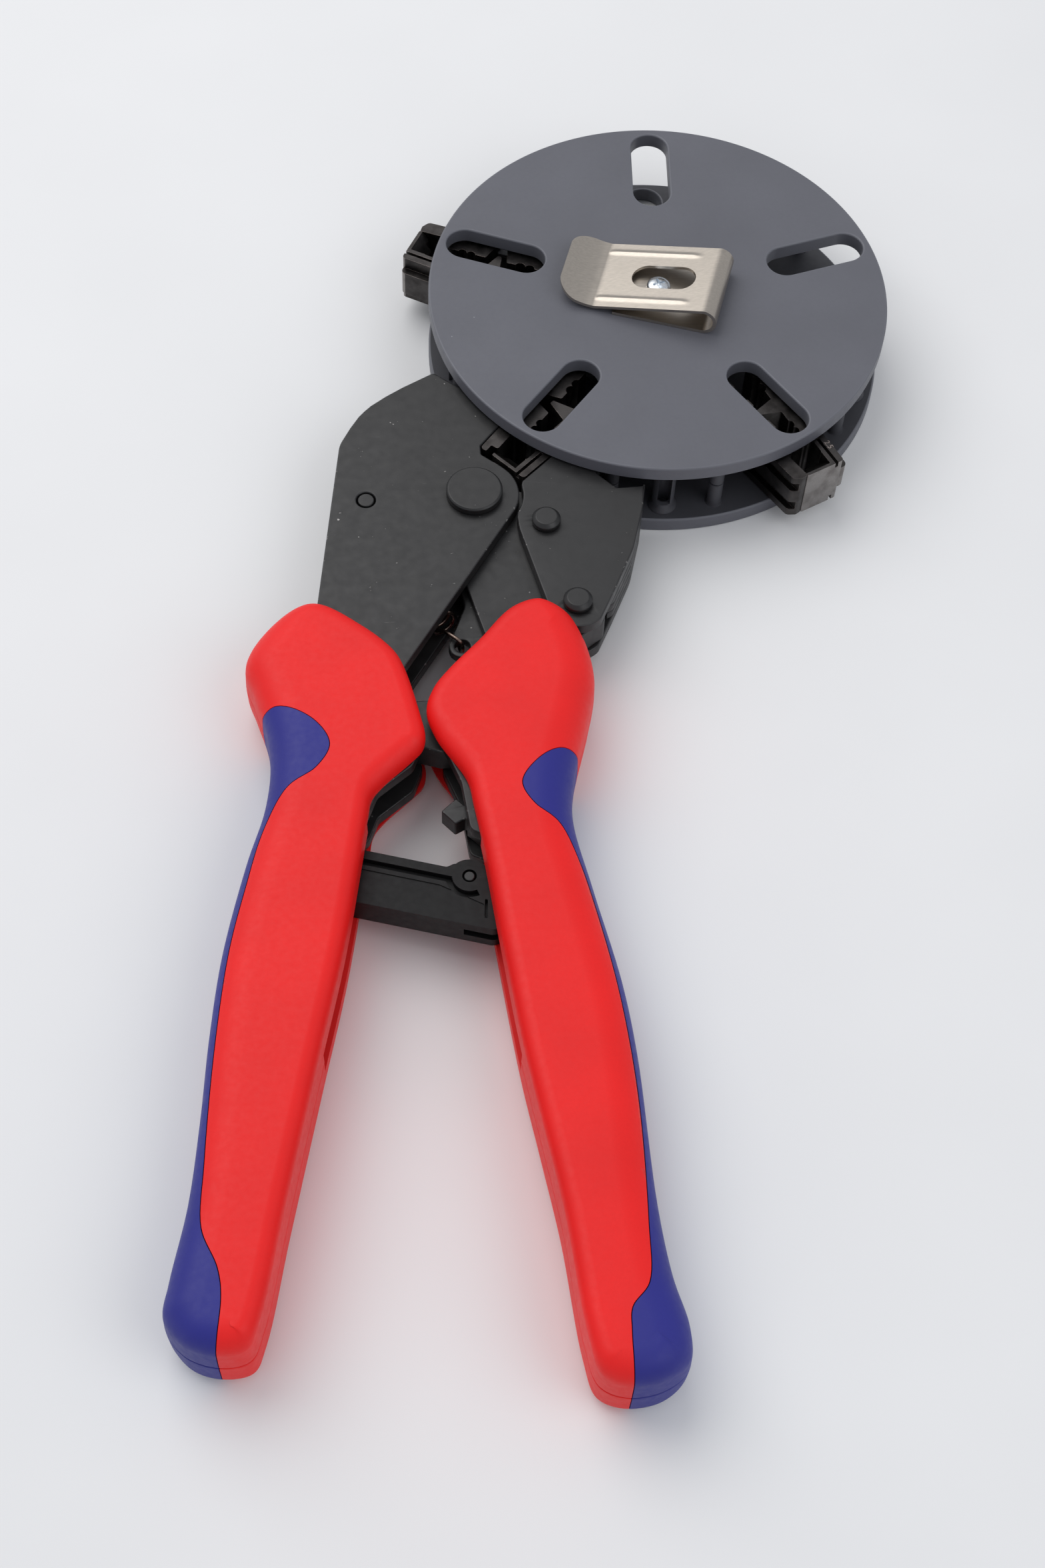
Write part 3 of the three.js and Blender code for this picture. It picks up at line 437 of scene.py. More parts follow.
def fitted(piece, node, slot, sharp=50):
    """Lets a piece stand for a CAD node and ride on its body."""
    shaded(piece, sharp)
    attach(piece, frame["nodes"][node]["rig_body"])
    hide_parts(node)
    return piece


def slab_tool(loop, low, high):
    data = sweep_rings([turned_left(loop)], [([0], low), ([0], high)], (0, 0))
    return make("tool", data, [])


def weld(mesh, distance=2e-6):
    work = bmesh.new()
    work.from_mesh(mesh)
    bmesh.ops.remove_doubles(work, verts=work.verts, dist=distance)
    bmesh.ops.dissolve_limit(work, angle_limit=math.radians(1), verts=work.verts, edges=work.edges)
    work.to_mesh(mesh)
    work.free()


def softened(piece, width, segments=2, limit=32):
    """Rounds a piece's edges; the rounded edges take the second material."""
    weld(piece.data)
    modifier = piece.modifiers.new("bevel", "BEVEL")
    modifier.width = width * MM
    modifier.segments = segments
    modifier.limit_method = "ANGLE"
    modifier.angle_limit = math.radians(limit)
    modifier.material = len(piece.data.materials) - 1
    return baked(piece)


# ---------------------------------------------------------------- materials


class Surface:
    """A node material built step by step on one Principled shader."""

    def __init__(self, name, roughness, metallic, specular=0.5):
        self.material = bpy.data.materials.new(name)
        self.material.use_nodes = True
        self.tree = self.material.node_tree
        self.shader = self.tree.nodes["Principled BSDF"]
        self.shader.inputs["Roughness"].default_value = roughness
        self.shader.inputs["Metallic"].default_value = metallic
        self.shader.inputs["Specular IOR Level"].default_value = specular
        self.coords = self.tree.nodes.new("ShaderNodeTexCoord").outputs["Object"]

    def link(self, source, target):
        self.tree.links.new(source, target)

    def noise(self, size, detail=4.0, stretch=(1, 1, 1), turn=0.0, shift=0.0):
        """Noise whose features are about size mm, stretched along its own axes."""
        mapping = self.tree.nodes.new("ShaderNodeMapping")
        mapping.inputs["Scale"].default_value = [1 / (size * MM * s) for s in stretch]
        mapping.inputs["Rotation"].default_value[2] = math.radians(turn)
        mapping.inputs["Location"].default_value[0] = shift
        self.link(self.coords, mapping.inputs["Vector"])
        node = self.tree.nodes.new("ShaderNodeTexNoise")
        node.inputs["Scale"].default_value = 1.0
        node.inputs["Detail"].default_value = detail
        self.link(mapping.outputs["Vector"], node.inputs["Vector"])
        return node.outputs["Fac"]

    def cells(self, size, shift=0.0):
        """Distance to scattered points about size mm apart, in cells."""
        mapping = self.tree.nodes.new("ShaderNodeMapping")
        mapping.inputs["Scale"].default_value = [1 / (size * MM)] * 3
        mapping.inputs["Location"].default_value = (shift, shift, shift)
        self.link(self.coords, mapping.inputs["Vector"])
        node = self.tree.nodes.new("ShaderNodeTexVoronoi")
        node.inputs["Scale"].default_value = 1.0
        self.link(mapping.outputs["Vector"], node.inputs["Vector"])
        return node.outputs["Distance"]

    def ranged(self, value, low, high, first, last):
        node = self.tree.nodes.new("ShaderNodeMapRange")
        self.link(value, node.inputs["Value"])
        for key, number in (("From Min", low), ("From Max", high), ("To Min", first), ("To Max", last)):
            node.inputs[key].default_value = number
        return node.outputs["Result"]

    def product(self, a, b):
        node = self.tree.nodes.new("ShaderNodeMath")
        node.operation = "MULTIPLY"
        self.link(a, node.inputs[0])
        self.link(b, node.inputs[1])
        return node.outputs[0]

    def blended(self, share, a, b):
        """A colour between a and b, which are colours or sockets."""
        node = self.tree.nodes.new("ShaderNodeMix")
        node.data_type = "RGBA"
        self.link(share, node.inputs["Factor"])
        for key, value in (("A", a), ("B", b)):
            target = [s for s in node.inputs if s.name == key and s.type == "RGBA"][0]
            if isinstance(value, tuple):
                target.default_value = (*value, 1)
            else:
                self.link(value, target)
        return [s for s in node.outputs if s.type == "RGBA"][0]

    def color(self, socket):
        self.link(socket, self.shader.inputs["Base Color"])

    def roughness(self, socket):
        self.link(socket, self.shader.inputs["Roughness"])

    def bump(self, *layers):
        """Bump from (height socket, height in mm) layers."""
        normal = None
        for height, depth in layers:
            node = self.tree.nodes.new("ShaderNodeBump")
            node.inputs["Strength"].default_value = 1.0
            node.inputs["Distance"].default_value = depth * MM
            self.link(height, node.inputs["Height"])
            if normal is not None:
                self.link(normal, node.inputs["Normal"])
            normal = node.outputs["Normal"]
        self.link(normal, self.shader.inputs["Normal"])


def scaled(color, share):
    return tuple(min(1.0, c * share) for c in color)


def moulded(name, color, roughness, speck=None, grain=0.35, depth=0.006, specular=0.5):
    """Moulded plastic: fine spark-eroded grain, slight clouding and a few light specks."""
    s = Surface(name, roughness, 0.0, specular)
    cloud = s.ranged(s.noise(22, 3), 0.3, 0.7, 0, 1)
    base = s.blended(cloud, scaled(color, 0.94), scaled(color, 1.05))
    fine = s.ranged(s.noise(0.6, 2), 0.35, 0.65, 0, 1)
    base = s.blended(s.ranged(fine, 0, 1, 0, 0.12), base, scaled(color, 0.8))
    if speck:
        spot = s.ranged(s.cells(6.5, 3), 0.018, 0.03, 1, 0)
        gate = s.ranged(s.noise(9, 1, shift=5), 0.56, 0.6, 0, 0.7)
        base = s.blended(s.product(spot, gate), base, speck)
    s.color(base)
    s.roughness(s.ranged(s.noise(1.4, 4), 0.3, 0.7, roughness - 0.05, roughness + 0.06))
    s.bump((s.noise(grain, 3), depth), (s.noise(12, 2), 0.02))
    return s.material


def blackened(name, color, bright, wear, roughness=0.42):
    """Black oxide on steel: satin, faintly clouded, with bare metal showing where it is worn."""
    s = Surface(name, roughness, 0.0)
    cloud = s.ranged(s.noise(14, 4), 0.3, 0.7, 0, 1)
    base = s.blended(cloud, scaled(color, 0.85), scaled(color, 1.15))
    low, high = wear
    worn = s.ranged(s.noise(1.1, 6), low, high, 0, 1)
    patch = s.ranged(s.noise(9, 3, shift=2), 0.42, 0.62, 0, 1)
    worn = s.product(worn, patch)
    scratch = s.ranged(s.noise(0.7, 3, (14, 1, 1), 35), 0.71, 0.76, 0, 0.5)
    zone = s.ranged(s.noise(16, 2, shift=7), 0.55, 0.65, 0, 1)
    s.color(s.blended(worn, s.blended(s.product(scratch, zone), base, bright), bright))
    s.link(worn, s.shader.inputs["Metallic"])
    s.roughness(s.ranged(s.noise(2.2, 5), 0.3, 0.7, roughness - 0.07, roughness + 0.07))
    s.bump((s.noise(0.25, 2), 0.003), (s.noise(3.5, 4), 0.008))
    return s.material


def metal(name, color, roughness, grain=(1, 1, 1), turn=0.0, stain=None, depth=0.003, mottle=0.06):
    """Bare or burnished metal with a directional grain and stains."""
    s = Surface(name, roughness, 1.0)
    streak = s.ranged(s.noise(0.3, 3, grain, turn), 0.3, 0.7, 0, 1)
    base = s.blended(streak, scaled(color, 0.9), scaled(color, 1.06))
    if stain:
        blot = s.ranged(s.noise(4, 5, shift=4), 0.45, 0.68, 0, 0.75)
        base = s.blended(blot, base, stain)
    s.color(base)
    s.roughness(s.ranged(s.noise(1.6, 4), 0.3, 0.7, roughness - mottle, roughness + 1.6 * mottle))
    s.bump((s.noise(0.3, 3, grain, turn), depth))
    return s.material


STEEL = (0.012, 0.012, 0.0125)
WORN = (0.36, 0.35, 0.34)
black_steel = blackened("black_steel", STEEL, WORN, (0.71, 0.75))
# The plates' rim faces take this copy: its wider worn patches are real wear, its 1.4 times lighter tone is
# a painted highlight.
black_edge_wear_highlight = blackened("black_steel_edge_wear_highlight", scaled(STEEL, 1.4), WORN, (0.62, 0.72))
pin_steel = blackened("pin_steel", scaled(STEEL, 0.85), WORN, (0.74, 0.78), 0.4)
die_steel = metal("die_steel", (0.075, 0.07, 0.068), 0.36, stain=(0.03, 0.027, 0.026))
die_bright = metal("die_bright", (0.27, 0.255, 0.245), 0.34, stain=(0.12, 0.105, 0.1))
# Much lighter steel that the bevel puts on the dies' rounded edges: a painted highlight. The size mark uses
# it too.
die_edge_highlight = metal("die_steel_edge_highlight", (0.4, 0.34, 0.315), 0.3, stain=(0.1, 0.09, 0.085))
grey_plastic = moulded("grey_plastic", (0.112, 0.115, 0.135), 0.5, speck=(0.3, 0.3, 0.32), depth=0.004)
# A darker copy of the grey plastic: painted shade for the faces inside the magazine, the hub and the
# columns.
grey_painted_shade = moulded("grey_plastic_painted_shade", (0.05, 0.051, 0.06), 0.55, depth=0.004)
# A lighter copy of the grey plastic: a painted highlight on the discs' rounded rims and slot edges.
grey_edge_highlight = moulded("grey_plastic_edge_highlight", (0.13, 0.134, 0.155), 0.45)
red_plastic = moulded(
    "red_plastic", (0.84, 0.011, 0.01), 0.5, (0.95, 0.4, 0.35), depth=0.009, specular=0.33
)
blue_plastic = moulded(
    "blue_plastic", (0.02, 0.022, 0.23), 0.5, (0.3, 0.3, 0.5), depth=0.005, specular=0.36
)
black_plastic = moulded("black_plastic", (0.005, 0.005, 0.0055), 0.5, depth=0.006, specular=0.26)
clip_steel = metal("clip_steel", (0.49, 0.445, 0.39), 0.33, (18, 1, 1), 15, depth=0.00006, mottle=0.012)
zinc_steel = metal("zinc_steel", (0.72, 0.76, 0.8), 0.25)
spring_steel = metal("spring_steel", (0.2, 0.15, 0.125), 0.28)

# ---------------------------------------------------------------- steel plates, links and pins

PLATES = [
    "fixed_plate_top", "fixed_plate_bottom", "fixed_spacer", "fixed_tang_spacer",
    "moving_plate_top", "moving_plate_bottom", "moving_inner_plate_top",
    "moving_inner_plate_bottom", "moving_centre_plate", "handle_plate_top",
    "handle_plate_bottom", "handle_tang", "handle_spacer", "toggle_link", "ratchet_pawl",
    "stay_bracket",
]


def height_of(value):
    return (value - CENTER.z) / MM


def upright(node):
    """A CAD slab rebuilt with smooth outlines and rounded rims."""
    low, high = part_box(node)
    loops = [refined(loop) for loop in node_loops(node)]
    edge = min(0.35, (high.z - low.z) / MM / 6)
    data = prism(loops, height_of(low.z), height_of(high.z), edge)
    # Rim faces take the edge copy: real wear plus a painted highlight.
    return make("fine_" + node, data, [black_steel, black_edge_wear_highlight])


def pin_center(node):
    low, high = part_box(node)
    middle = (low + high) / 2 - CENTER
    return (middle.x / MM, middle.y / MM)


def plain_pin(node, edge=0.3):
    low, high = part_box(node)
    radius = (high.x - low.x) / 2 / MM
    half = height_of(high.z)
    profile = [(0, -half), (radius - edge, -half), (radius, -half + edge)]
    profile += [(radius, half - edge), (radius - edge, half), (0, half)]
    return make("fine_" + node, lathe(pin_center(node), profile, 48), [pin_steel])


def headed_pin(node, shaft, chamfer, soft):
    """A riveted pin with a turned head at each end."""
    low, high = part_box(node)
    radius = (high.x - low.x) / 2 / MM
    top = height_of(high.z)
    under = PLATE_OUTER + SEAM
    upper = [
        (shaft, under), (radius - soft, under), (radius, under + soft),
        (radius, top - chamfer - soft / 2), (radius - soft / 2, top - chamfer),
        (radius - chamfer, top - soft / 2), (radius - chamfer - soft, top),
    ]
    lower = [(r, -z) for r, z in reversed(upper)]
    profile = [(0, -top), *lower, *upper, (0, top)]
    return make("fine_" + node, lathe(pin_center(node), profile, 96), [pin_steel])


TAB_LOW = -1.2  # underside of the pawl's finger tab
TAB_ZONE = [(-46, -130), (-60, -130), (-60, -150), (-46, -150)]

for node in PLATES:
    piece = upright(node)
    if node == "ratchet_pawl":
        cut(piece, [slab_tool(TAB_ZONE, -5, TAB_LOW)])
    fitted(piece, node, "black_steel")
HEADED_PINS = {"main_pivot_pin": (4.5, 0.35), "jaw_rivet": (2.3, 0.75), "handle_pivot_pin": (2.3, 0.75)}

for node, (shaft, chamfer) in HEADED_PINS.items():
    fitted(headed_pin(node, shaft, chamfer, 0.2), node, "pin_steel")
for node in frame["nodes"]:
    simple = "rivet" in node or node.endswith("_pin")
    if simple and node not in HEADED_PINS:
        fitted(plain_pin(node), node, "pin_steel")

# ---------------------------------------------------------------- magazine


def slot_loop(station, start=28.5, end=53.1, width=9.1):
    radius = width / 2
    inner = on_station(station, start + radius, 0)
    outer = on_station(station, end - radius, 0)
    ends = arc(inner, radius, station + 90, station + 270, 20)
    ends += arc(outer, radius, station - 90, station + 90, 20)
    return ends[::-1]


def disc(direction):
    loops = [circle((0, 0), DISC_RADIUS, 240), *map(slot_loop, STATIONS)]
    if direction > 0:
        loops.append(circle((0, 0), 2.4, 40)[::-1])
    low, high = sorted((DISC_INNER * direction, DISC_OUTER * direction))
    posts = []
    for station in STATIONS:
        for offset in (-22, 22):
            foot = polar((0, 0), 50.5, station + offset)
            posts.append(half_post(foot, direction))
    return joined(prism(loops, low, high, 0.45), *posts)


def half_post(foot, direction, radius=1.7):
    profile = [
        (0, SEAM), (radius - 0.25, SEAM), (radius, SEAM + 0.25),
        (radius, DISC_INNER - 0.5), (radius + 0.4, DISC_INNER), (radius + 0.4, DISC_INNER + 0.4),
        (0, DISC_INNER + 0.4),
    ]
    if direction < 0:
        profile = [(r, -z) for r, z in reversed(profile)]
    return lathe(foot, profile, 32)


for direction, node in ((1, "magazine_disc_top"), (-1, "magazine_disc_bottom")):
    piece = make("fine_" + node, disc(direction), [grey_plastic, grey_edge_highlight, grey_painted_shade])
    # Faces on the discs' inner sides, facing the gap between them, take the darker grey: painted shade.
    for face in piece.data.polygons:
        if abs(height_of(face.center.z)) < DISC_INNER + 0.01:
            face.material_index = 2
    fitted(piece, node, "grey_plastic")


def hub():
    half = DISC_INNER - 0.1
    profile = [(0, -half), (19.6, -half), (20, -half + 0.4), (20, half - 0.4), (19.6, half), (2.4, half)]
    profile += [(2.4, -5.2), (0, -5.2)]
    # The hub takes the darker grey, which is painted shade.
    return make("fine_magazine_hub", lathe((0, 0), profile, 120), [grey_painted_shade])


def column(node):
    """A flared tube, open along its outward side."""
    half = DISC_INNER - 0.1
    inner, outer = 1.5, 2.6
    profile = [(inner, -half), (outer + 0.8, -half), (outer + 0.7, -half + 0.4), (outer, -half + 1.6)]
    profile += [(outer, half - 1.6), (outer + 0.7, half - 0.4), (outer + 0.8, half), (inner, half)]
    # The column takes the darker grey, which is painted shade.
    piece = make("fine_" + node, lathe(pin_center(node), profile, 40), [grey_painted_shade])
    angle = math.degrees(math.atan2(*reversed(pin_center(node))))
    distance = math.hypot(*pin_center(node))
    window = [(distance, -inner), (distance + 6, -inner), (distance + 6, inner), (distance, inner)]
    return cut(piece, [slab_tool([on_station(angle, r, v) for r, v in window], 2.4 - half, half - 2.4)])


fitted(hub(), "magazine_hub", "grey_plastic")
for i in range(1, 6):
    node = f"spacer_column_{i}"
    fitted(column(node), node, "grey_plastic")

# ---------------------------------------------------------------- dies

DIE_HALF = 6.65
DIE_TONGUE = 6.8  # reach of a half's tongue, which runs in the jaw
TONGUE_HALF = 3.4
PLATE_GROOVE = (2, 4.6)  # heights of the groove for a plate's edge
GROOVE_START = 5.35
TOP_SLOT = (-3.5, -2.7)
TOP_SLOT_FLOOR = 5.1
DIE_BEVEL = 0.16
SPLIT_OFFSET, PIVOT_DISTANCE, JAW_OPENING = 1.3, 73.5, 7.2
DIE_STATIONS = {"jaw": 234, "stored_left": 162, "stored_right": 306}
NESTS = [(32.4, 1.3), (34.8, 1.3), (47.4, 1.1), (49.6, 1.1)]
FIXED_NESTS = [
    (27.5, 6.8, 0.8), (27.5, 0.15, 0.4), (38.3, 0.15, 0.4), (39.9, 5.9, 0.3), (41.9, 5.9, 0.3),
    (43.7, 0.15, 0.4), (53, 0.15, 0.6), (53, 3.4, 0.8),
]
FIXED_END = [(59.5, 3.4, 0.5), (59.5, 5.2, 0.3), (61.6, 5.2, 0.3), (61.6, 6.8, 1.5)]
STORED_END = [(61.6, 3.4, 0.4), (61.6, 5.0, 0.8), (60.4, 6.8, 1.2)]
OPEN_HALF = [
    (27.5, -0.15, 0.4), (38.8, -0.15, 0.4), (40.4, 5.6, 0.3), (41.4, 5.6, 0.3), (43.2, -0.15, 0.4),
    (53, -0.15, 0.6), (53, -1.8, 0.8), (58.2, -1.8, 0.8), (58.2, 3.1, 0.4), (59.8, 3.1, 0.2),
    (59.8, 4.9, 0.4), (62.3, 4.9, 0.4), (62.3, -5, 0.8), (27.5, -5, 0.8),
]


def die_place(station, side):
    """Maps a die half's own plan, along and across the split, to the tool's plan."""
    turn = Matrix.Rotation(math.radians(-JAW_OPENING), 2)
    pivot = Vector(on_station(station, PIVOT_DISTANCE, SPLIT_OFFSET))

    def place(s, w):
        point = Vector(on_station(station, s, SPLIT_OFFSET + w))
        return tuple(point if side > 0 else pivot + turn @ (point - pivot))

    return place


def die_half(node, station, side):
    """One half of a die set: side 1 is the fixed half, side -1 the half that stands open."""
    place = die_place(station, side)

    def block(corners, low, high):
        return slab_tool([place(s, w) for s, w in rounded(corners)], low, high)

    def box(from_s, to_s, from_w, to_w, low, high):
        corners = [(from_s, from_w, 0), (to_s, from_w, 0), (to_s, to_w, 0), (from_s, to_w, 0)]
        return block(corners, low, high)

    fixed = FIXED_NESTS + (FIXED_END if node.startswith("jaw") else STORED_END)
    piece = block(fixed if side > 0 else OPEN_HALF, -DIE_HALF, DIE_HALF)
    piece.name = "fine_" + node
    if side > 0:
        low, high = PLATE_GROOVE
        cut(piece, [box(26, 64, GROOVE_START, 8, *z) for z in ((low, high), (-high, -low))])
    else:
        tongue = [(30.5, -4, 0), (61.9, -4, 0), (61.9, -DIE_TONGUE, 1.2), (30.5, -DIE_TONGUE, 1.2)]
        cut(piece, [block(tongue, -TONGUE_HALF, TONGUE_HALF)], "UNION")
        floor = TOP_SLOT_FLOOR
        cut(piece, [box(54, 64, *TOP_SLOT, *z) for z in ((floor, 8), (-8, -floor))])
        cut(piece, [ramp(place, 1), ramp(place, -1)])
    cut(piece, [slab_tool(circle(place(s, -side * 0.2), radius, 28), -8, 8) for s, radius in NESTS])
    # The last material, the lighter steel, goes to the rounded edges as a painted highlight.
    for material in (die_steel, die_bright, die_edge_highlight):
        piece.data.materials.append(material)
    softened(piece, DIE_BEVEL)
    for face in piece.data.polygons:
        if face.material_index == 0 and side < 0 and reaches_over(place, face.center):
            face.material_index = 1
    return piece


def ramp(place, up):
    """The wedge cut from the inner top edge of the end wall."""
    section = [(58.0, 6.9), (61.8, 6.9), (58.0, 3.0)]
    points = [at(*place(s, w), z * up) for w in (-1.7, 5.6) for s, z in section]
    faces = [(0, 1, 2), (5, 4, 3), (0, 3, 4, 1), (1, 4, 5, 2), (2, 5, 3, 0)]
    tool = make("tool", (points, faces, [False] * len(faces)), [])
    work = bmesh.new()
    work.from_mesh(tool.data)
    bmesh.ops.recalc_face_normals(work, faces=work.faces)
    work.to_mesh(tool.data)
    work.free()
    return tool


def reaches_over(place, point):
    """Whether a point of an open half lies on its tooth or its end wall."""
    plan = Vector(((point.x - CENTER.x) / MM, (point.y - CENTER.y) / MM))
    origin, ahead, across = (Vector(place(*p)) for p in ((0, 0), (1, 0), (0, 1)))
    s, w = (plan - origin).dot(ahead - origin), (plan - origin).dot(across - origin)
    return s > 59.4 or (38.6 < s < 43.4 and w > -0.3)


def size_mark(node, station):
    """The nest size, marked on an open half's top face."""
    place = die_place(station, -1)
    curve = bpy.data.curves.new("size_mark", "FONT")
    curve.body = "2.5"
    curve.size = 2.0 * MM
    curve.extrude = 0.02 * MM
    text = bpy.data.objects.new("size_mark", curve)
    bpy.context.scene.collection.objects.link(text)
    bpy.context.view_layer.update()
    mesh = bpy.data.meshes.new_from_object(text.evaluated_get(bpy.context.evaluated_depsgraph_get()))
    bpy.data.objects.remove(text)
    start, ahead = Vector(place(55.6, -3.75)), Vector(place(56.6, -3.75))
    along = (ahead - start).normalized()
    for vertex in mesh.vertices:
        x, y, z = vertex.co / MM
        plan = start + along * x + Vector((-along.y, along.x)) * y
        vertex.co = at(plan.x, plan.y, DIE_HALF + z)
    # The mark is drawn in the same light steel as the painted edge highlights.
    mesh.materials.append(die_edge_highlight)
    piece = bpy.data.objects.new("fine_die_size_mark", mesh)
    bpy.context.scene.collection.objects.link(piece)
    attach(piece, frame["nodes"][node]["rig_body"])


for name, station in DIE_STATIONS.items():
    for half, side in (("a", 1), ("b", -1)):
        node = f"{name}_die_{half}"
        fitted(die_half(node, station, side), node, "die_steel", 40)
size_mark("stored_right_die_b", DIE_STATIONS["stored_right"])

# ---------------------------------------------------------------- stay bar

STAY_PIVOT = (-45.7, -156.4)
BAR_SLOPE = 167
BAR_HALF = 3.5
BAR_OUTLINE = [
    (-6.5, -2.2, 1), (3.6, -2.2, 1.5), (5, -1, 1), (31, -1, 1), (31, 10.2, 2), (22.9, 10.2, 0.5),
    (22.4, 11.2, 0.5), (-9.4, 11.2, 2.5), (-9.4, 4, 2), (-6.5, 2, 2),
]
BAR_FORK = [(4.2, -6, 0), (4.2, 2.6, 2), (0.8, 5.4, 2), (-2.4, 14, 0), (-14, 14, 0), (-14, -6, 0)]
BAR_GROOVE = [(27, 0.95, 0.4), (27, 2.4, 0.4), (4, 2.4, 0), (3.4, 0.95, 0)]
BAR_PANEL = [(26, 3.4, 0.8), (26, 8.9, 0.6), (-5.2, 8.9, 0.4), (-4.4, 5.8, 0.4), (5.6, 3.4, 1)]
BAR_SLIT = [(-4.3, 4.6, 0.2), (-4.9, 4.6, 0.2), (-5.8, 8.9, 0.2), (-5.2, 8.9, 0.2)]


def on_bar(corners):
    """An outline given along the bar and down from its pivot."""
    return [polar(polar(STAY_PIVOT, x, BAR_SLOPE), y, BAR_SLOPE + 90) for x, y in rounded(corners)]


def stay_bar():
    top = 5
    ring = [arc(STAY_PIVOT, r, BAR_SLOPE + 20, BAR_SLOPE + 128, 24) for r in (3.6, 5.0)]
    piece = slab_tool(on_bar(BAR_OUTLINE), -BAR_HALF, BAR_HALF)
    piece.name = "fine_stay_bar"
    cut(piece, [slab_tool(circle(STAY_PIVOT, 4.4, 64), -2.6, 2.6)], "UNION")
    cut(piece, [slab_tool(on_bar(BAR_FORK), -1.1, 1.1)])
    groove = slab_tool(on_bar(BAR_GROOVE), 1.9, top)
    cut(groove, [slab_tool(ring[0] + ring[1][::-1], 1.9, top)], "UNION")
    cut(piece, [groove])
    cut(piece, [slab_tool(on_bar(BAR_PANEL), BAR_HALF - 0.25, top)])
    cut(piece, [slab_tool(on_bar(BAR_SLIT), 2.2, top), slab_tool(circle(STAY_PIVOT, 1.5, 32), -top, top)])
    piece.data.materials.append(black_plastic)
    return softened(piece, 0.14)


fitted(stay_bar(), "stay_bar", "black_plastic", 40)

# ---------------------------------------------------------------- belt clip

CLIP_WIDTH = 21
CLIP_SHEET = 0.8
CLIP_ANGLE = -15
CLIP_RISE = 7.18
CLIP_BASE = DISC_OUTER + 0.1 + CLIP_SHEET / 2


def clip_line():
    """The strip's centre line along the clip: under leaf, fold, upper leaf and flared tip."""
    fold = (CLIP_RISE - CLIP_SHEET) / 2
    center = (12.4, CLIP_BASE + fold)
    line = [(-9.0, CLIP_BASE), (0.0, CLIP_BASE)]
    line += arc(center, fold, -90, 84, 24)
    start, end = line[-1], (-13.6, CLIP_BASE + 0.7)
    line += [(mix(start[0], end[0], i / 30), mix(start[1], end[1], i / 30)) for i in range(1, 30)]
    tip = [(-16, 0.95), (-19.6, 1.95), (-23, 3.6)]
    line += catmull([end, *((x, CLIP_BASE + rise) for x, rise in tip)], False, 5)
    return line


def rib_height(along, across, upper):
    """Two pressed ribs run along the upper leaf, each with round ends."""
    if not upper:
        return 0.0
    outside = max(abs(along + 2.8) - 9.8, 0.0)
    distance = math.hypot(outside, abs(abs(across) - 7.7))
    return 0.26 * math.exp(-((distance / 0.55) ** 2))


def belt_clip():
    line = clip_line()
    columns = 84
    half = CLIP_WIDTH / 2
    sides = {}
    for side in (1, -1):
        grid = []
        for i, point in enumerate(line):
            before, after = line[max(0, i - 1)], line[min(len(line) - 1, i + 1)]
            along = Vector((after[0] - before[0], after[1] - before[1])).normalized()
            normal = Vector((along.y, -along.x))
            upper = i > 26
            row = []
            for k in range(columns + 1):
                across = mix(-half, half, k / columns)
                offset = side * CLIP_SHEET / 2 + rib_height(point[0], across, upper)
                x, z = Vector(point) + normal * offset
                px, py = turned_point(x, across)
                row.append(at(px, py, z))
            grid.append(row)
        sides[side] = grid
    return strip_solid(sides[1], sides[-1])


def turned_point(x, y, degrees=CLIP_ANGLE):
    angle = math.radians(degrees)
    return (x * math.cos(angle) - y * math.sin(angle), x * math.sin(angle) + y * math.cos(angle))


def strip_solid(outer, inner):
    """A closed sheet between two grids of points."""
    rows, columns = len(outer), len(outer[0])
    vertices = [p for grid in (outer, inner) for row in grid for p in row]
    shift = rows * columns
    faces = []
    for r in range(rows - 1):
        for c in range(columns - 1):
            a = r * columns + c
            quad = (a, a + 1, a + columns + 1, a + columns)
            faces.append(quad[::-1])
            faces.append(tuple(shift + i for i in quad))
    rim = [r * columns for r in range(rows)]
    rim += [(rows - 1) * columns + c for c in range(1, columns)]
    rim += [r * columns + columns - 1 for r in range(rows - 2, -1, -1)]
    rim += list(range(columns - 2, 0, -1))
    for a, b in zip(rim, rim[1:] + rim[:1]):
        faces.append((a, b, shift + b, shift + a)[::-1])
    return vertices, faces, [False] * len(faces)


def clip_plan():
    """The strip's plan outline with the tip's round corners."""
    half = CLIP_WIDTH / 2 + 0.01
    radius, tip = 5.5, -22.9
    plan = [(20.0, -half), (20.0, half)]
    plan += arc((tip + radius, half - radius), radius, 90, 180, 14)
    plan += arc((tip + radius, radius - half), radius, 180, 270, 14)
    return plan


def clip_window():
    return arc((-2.9, 0), 3.7, 90, 270, 24) + arc((4.9, 0), 3.7, -90, 90, 24)


def build_clip():
    piece = make("fine_belt_clip", belt_clip(), [clip_steel])
    outside = [turned_point(x, y) for x, y in clip_plan()]
    window = [turned_point(x, y) for x, y in clip_window()]
    cut(piece, [slab_tool(outside, CLIP_BASE - 3, CLIP_BASE + 12)], "INTERSECT")
    cut(piece, [slab_tool(window, CLIP_BASE + 1.4, CLIP_BASE + 12)])
    cut(piece, [slab_tool(circle((0, 0), 2.4, 32), CLIP_BASE - 2, CLIP_BASE + 1)])
    return piece


fitted(build_clip(), "belt_clip", "clip_steel", 42)


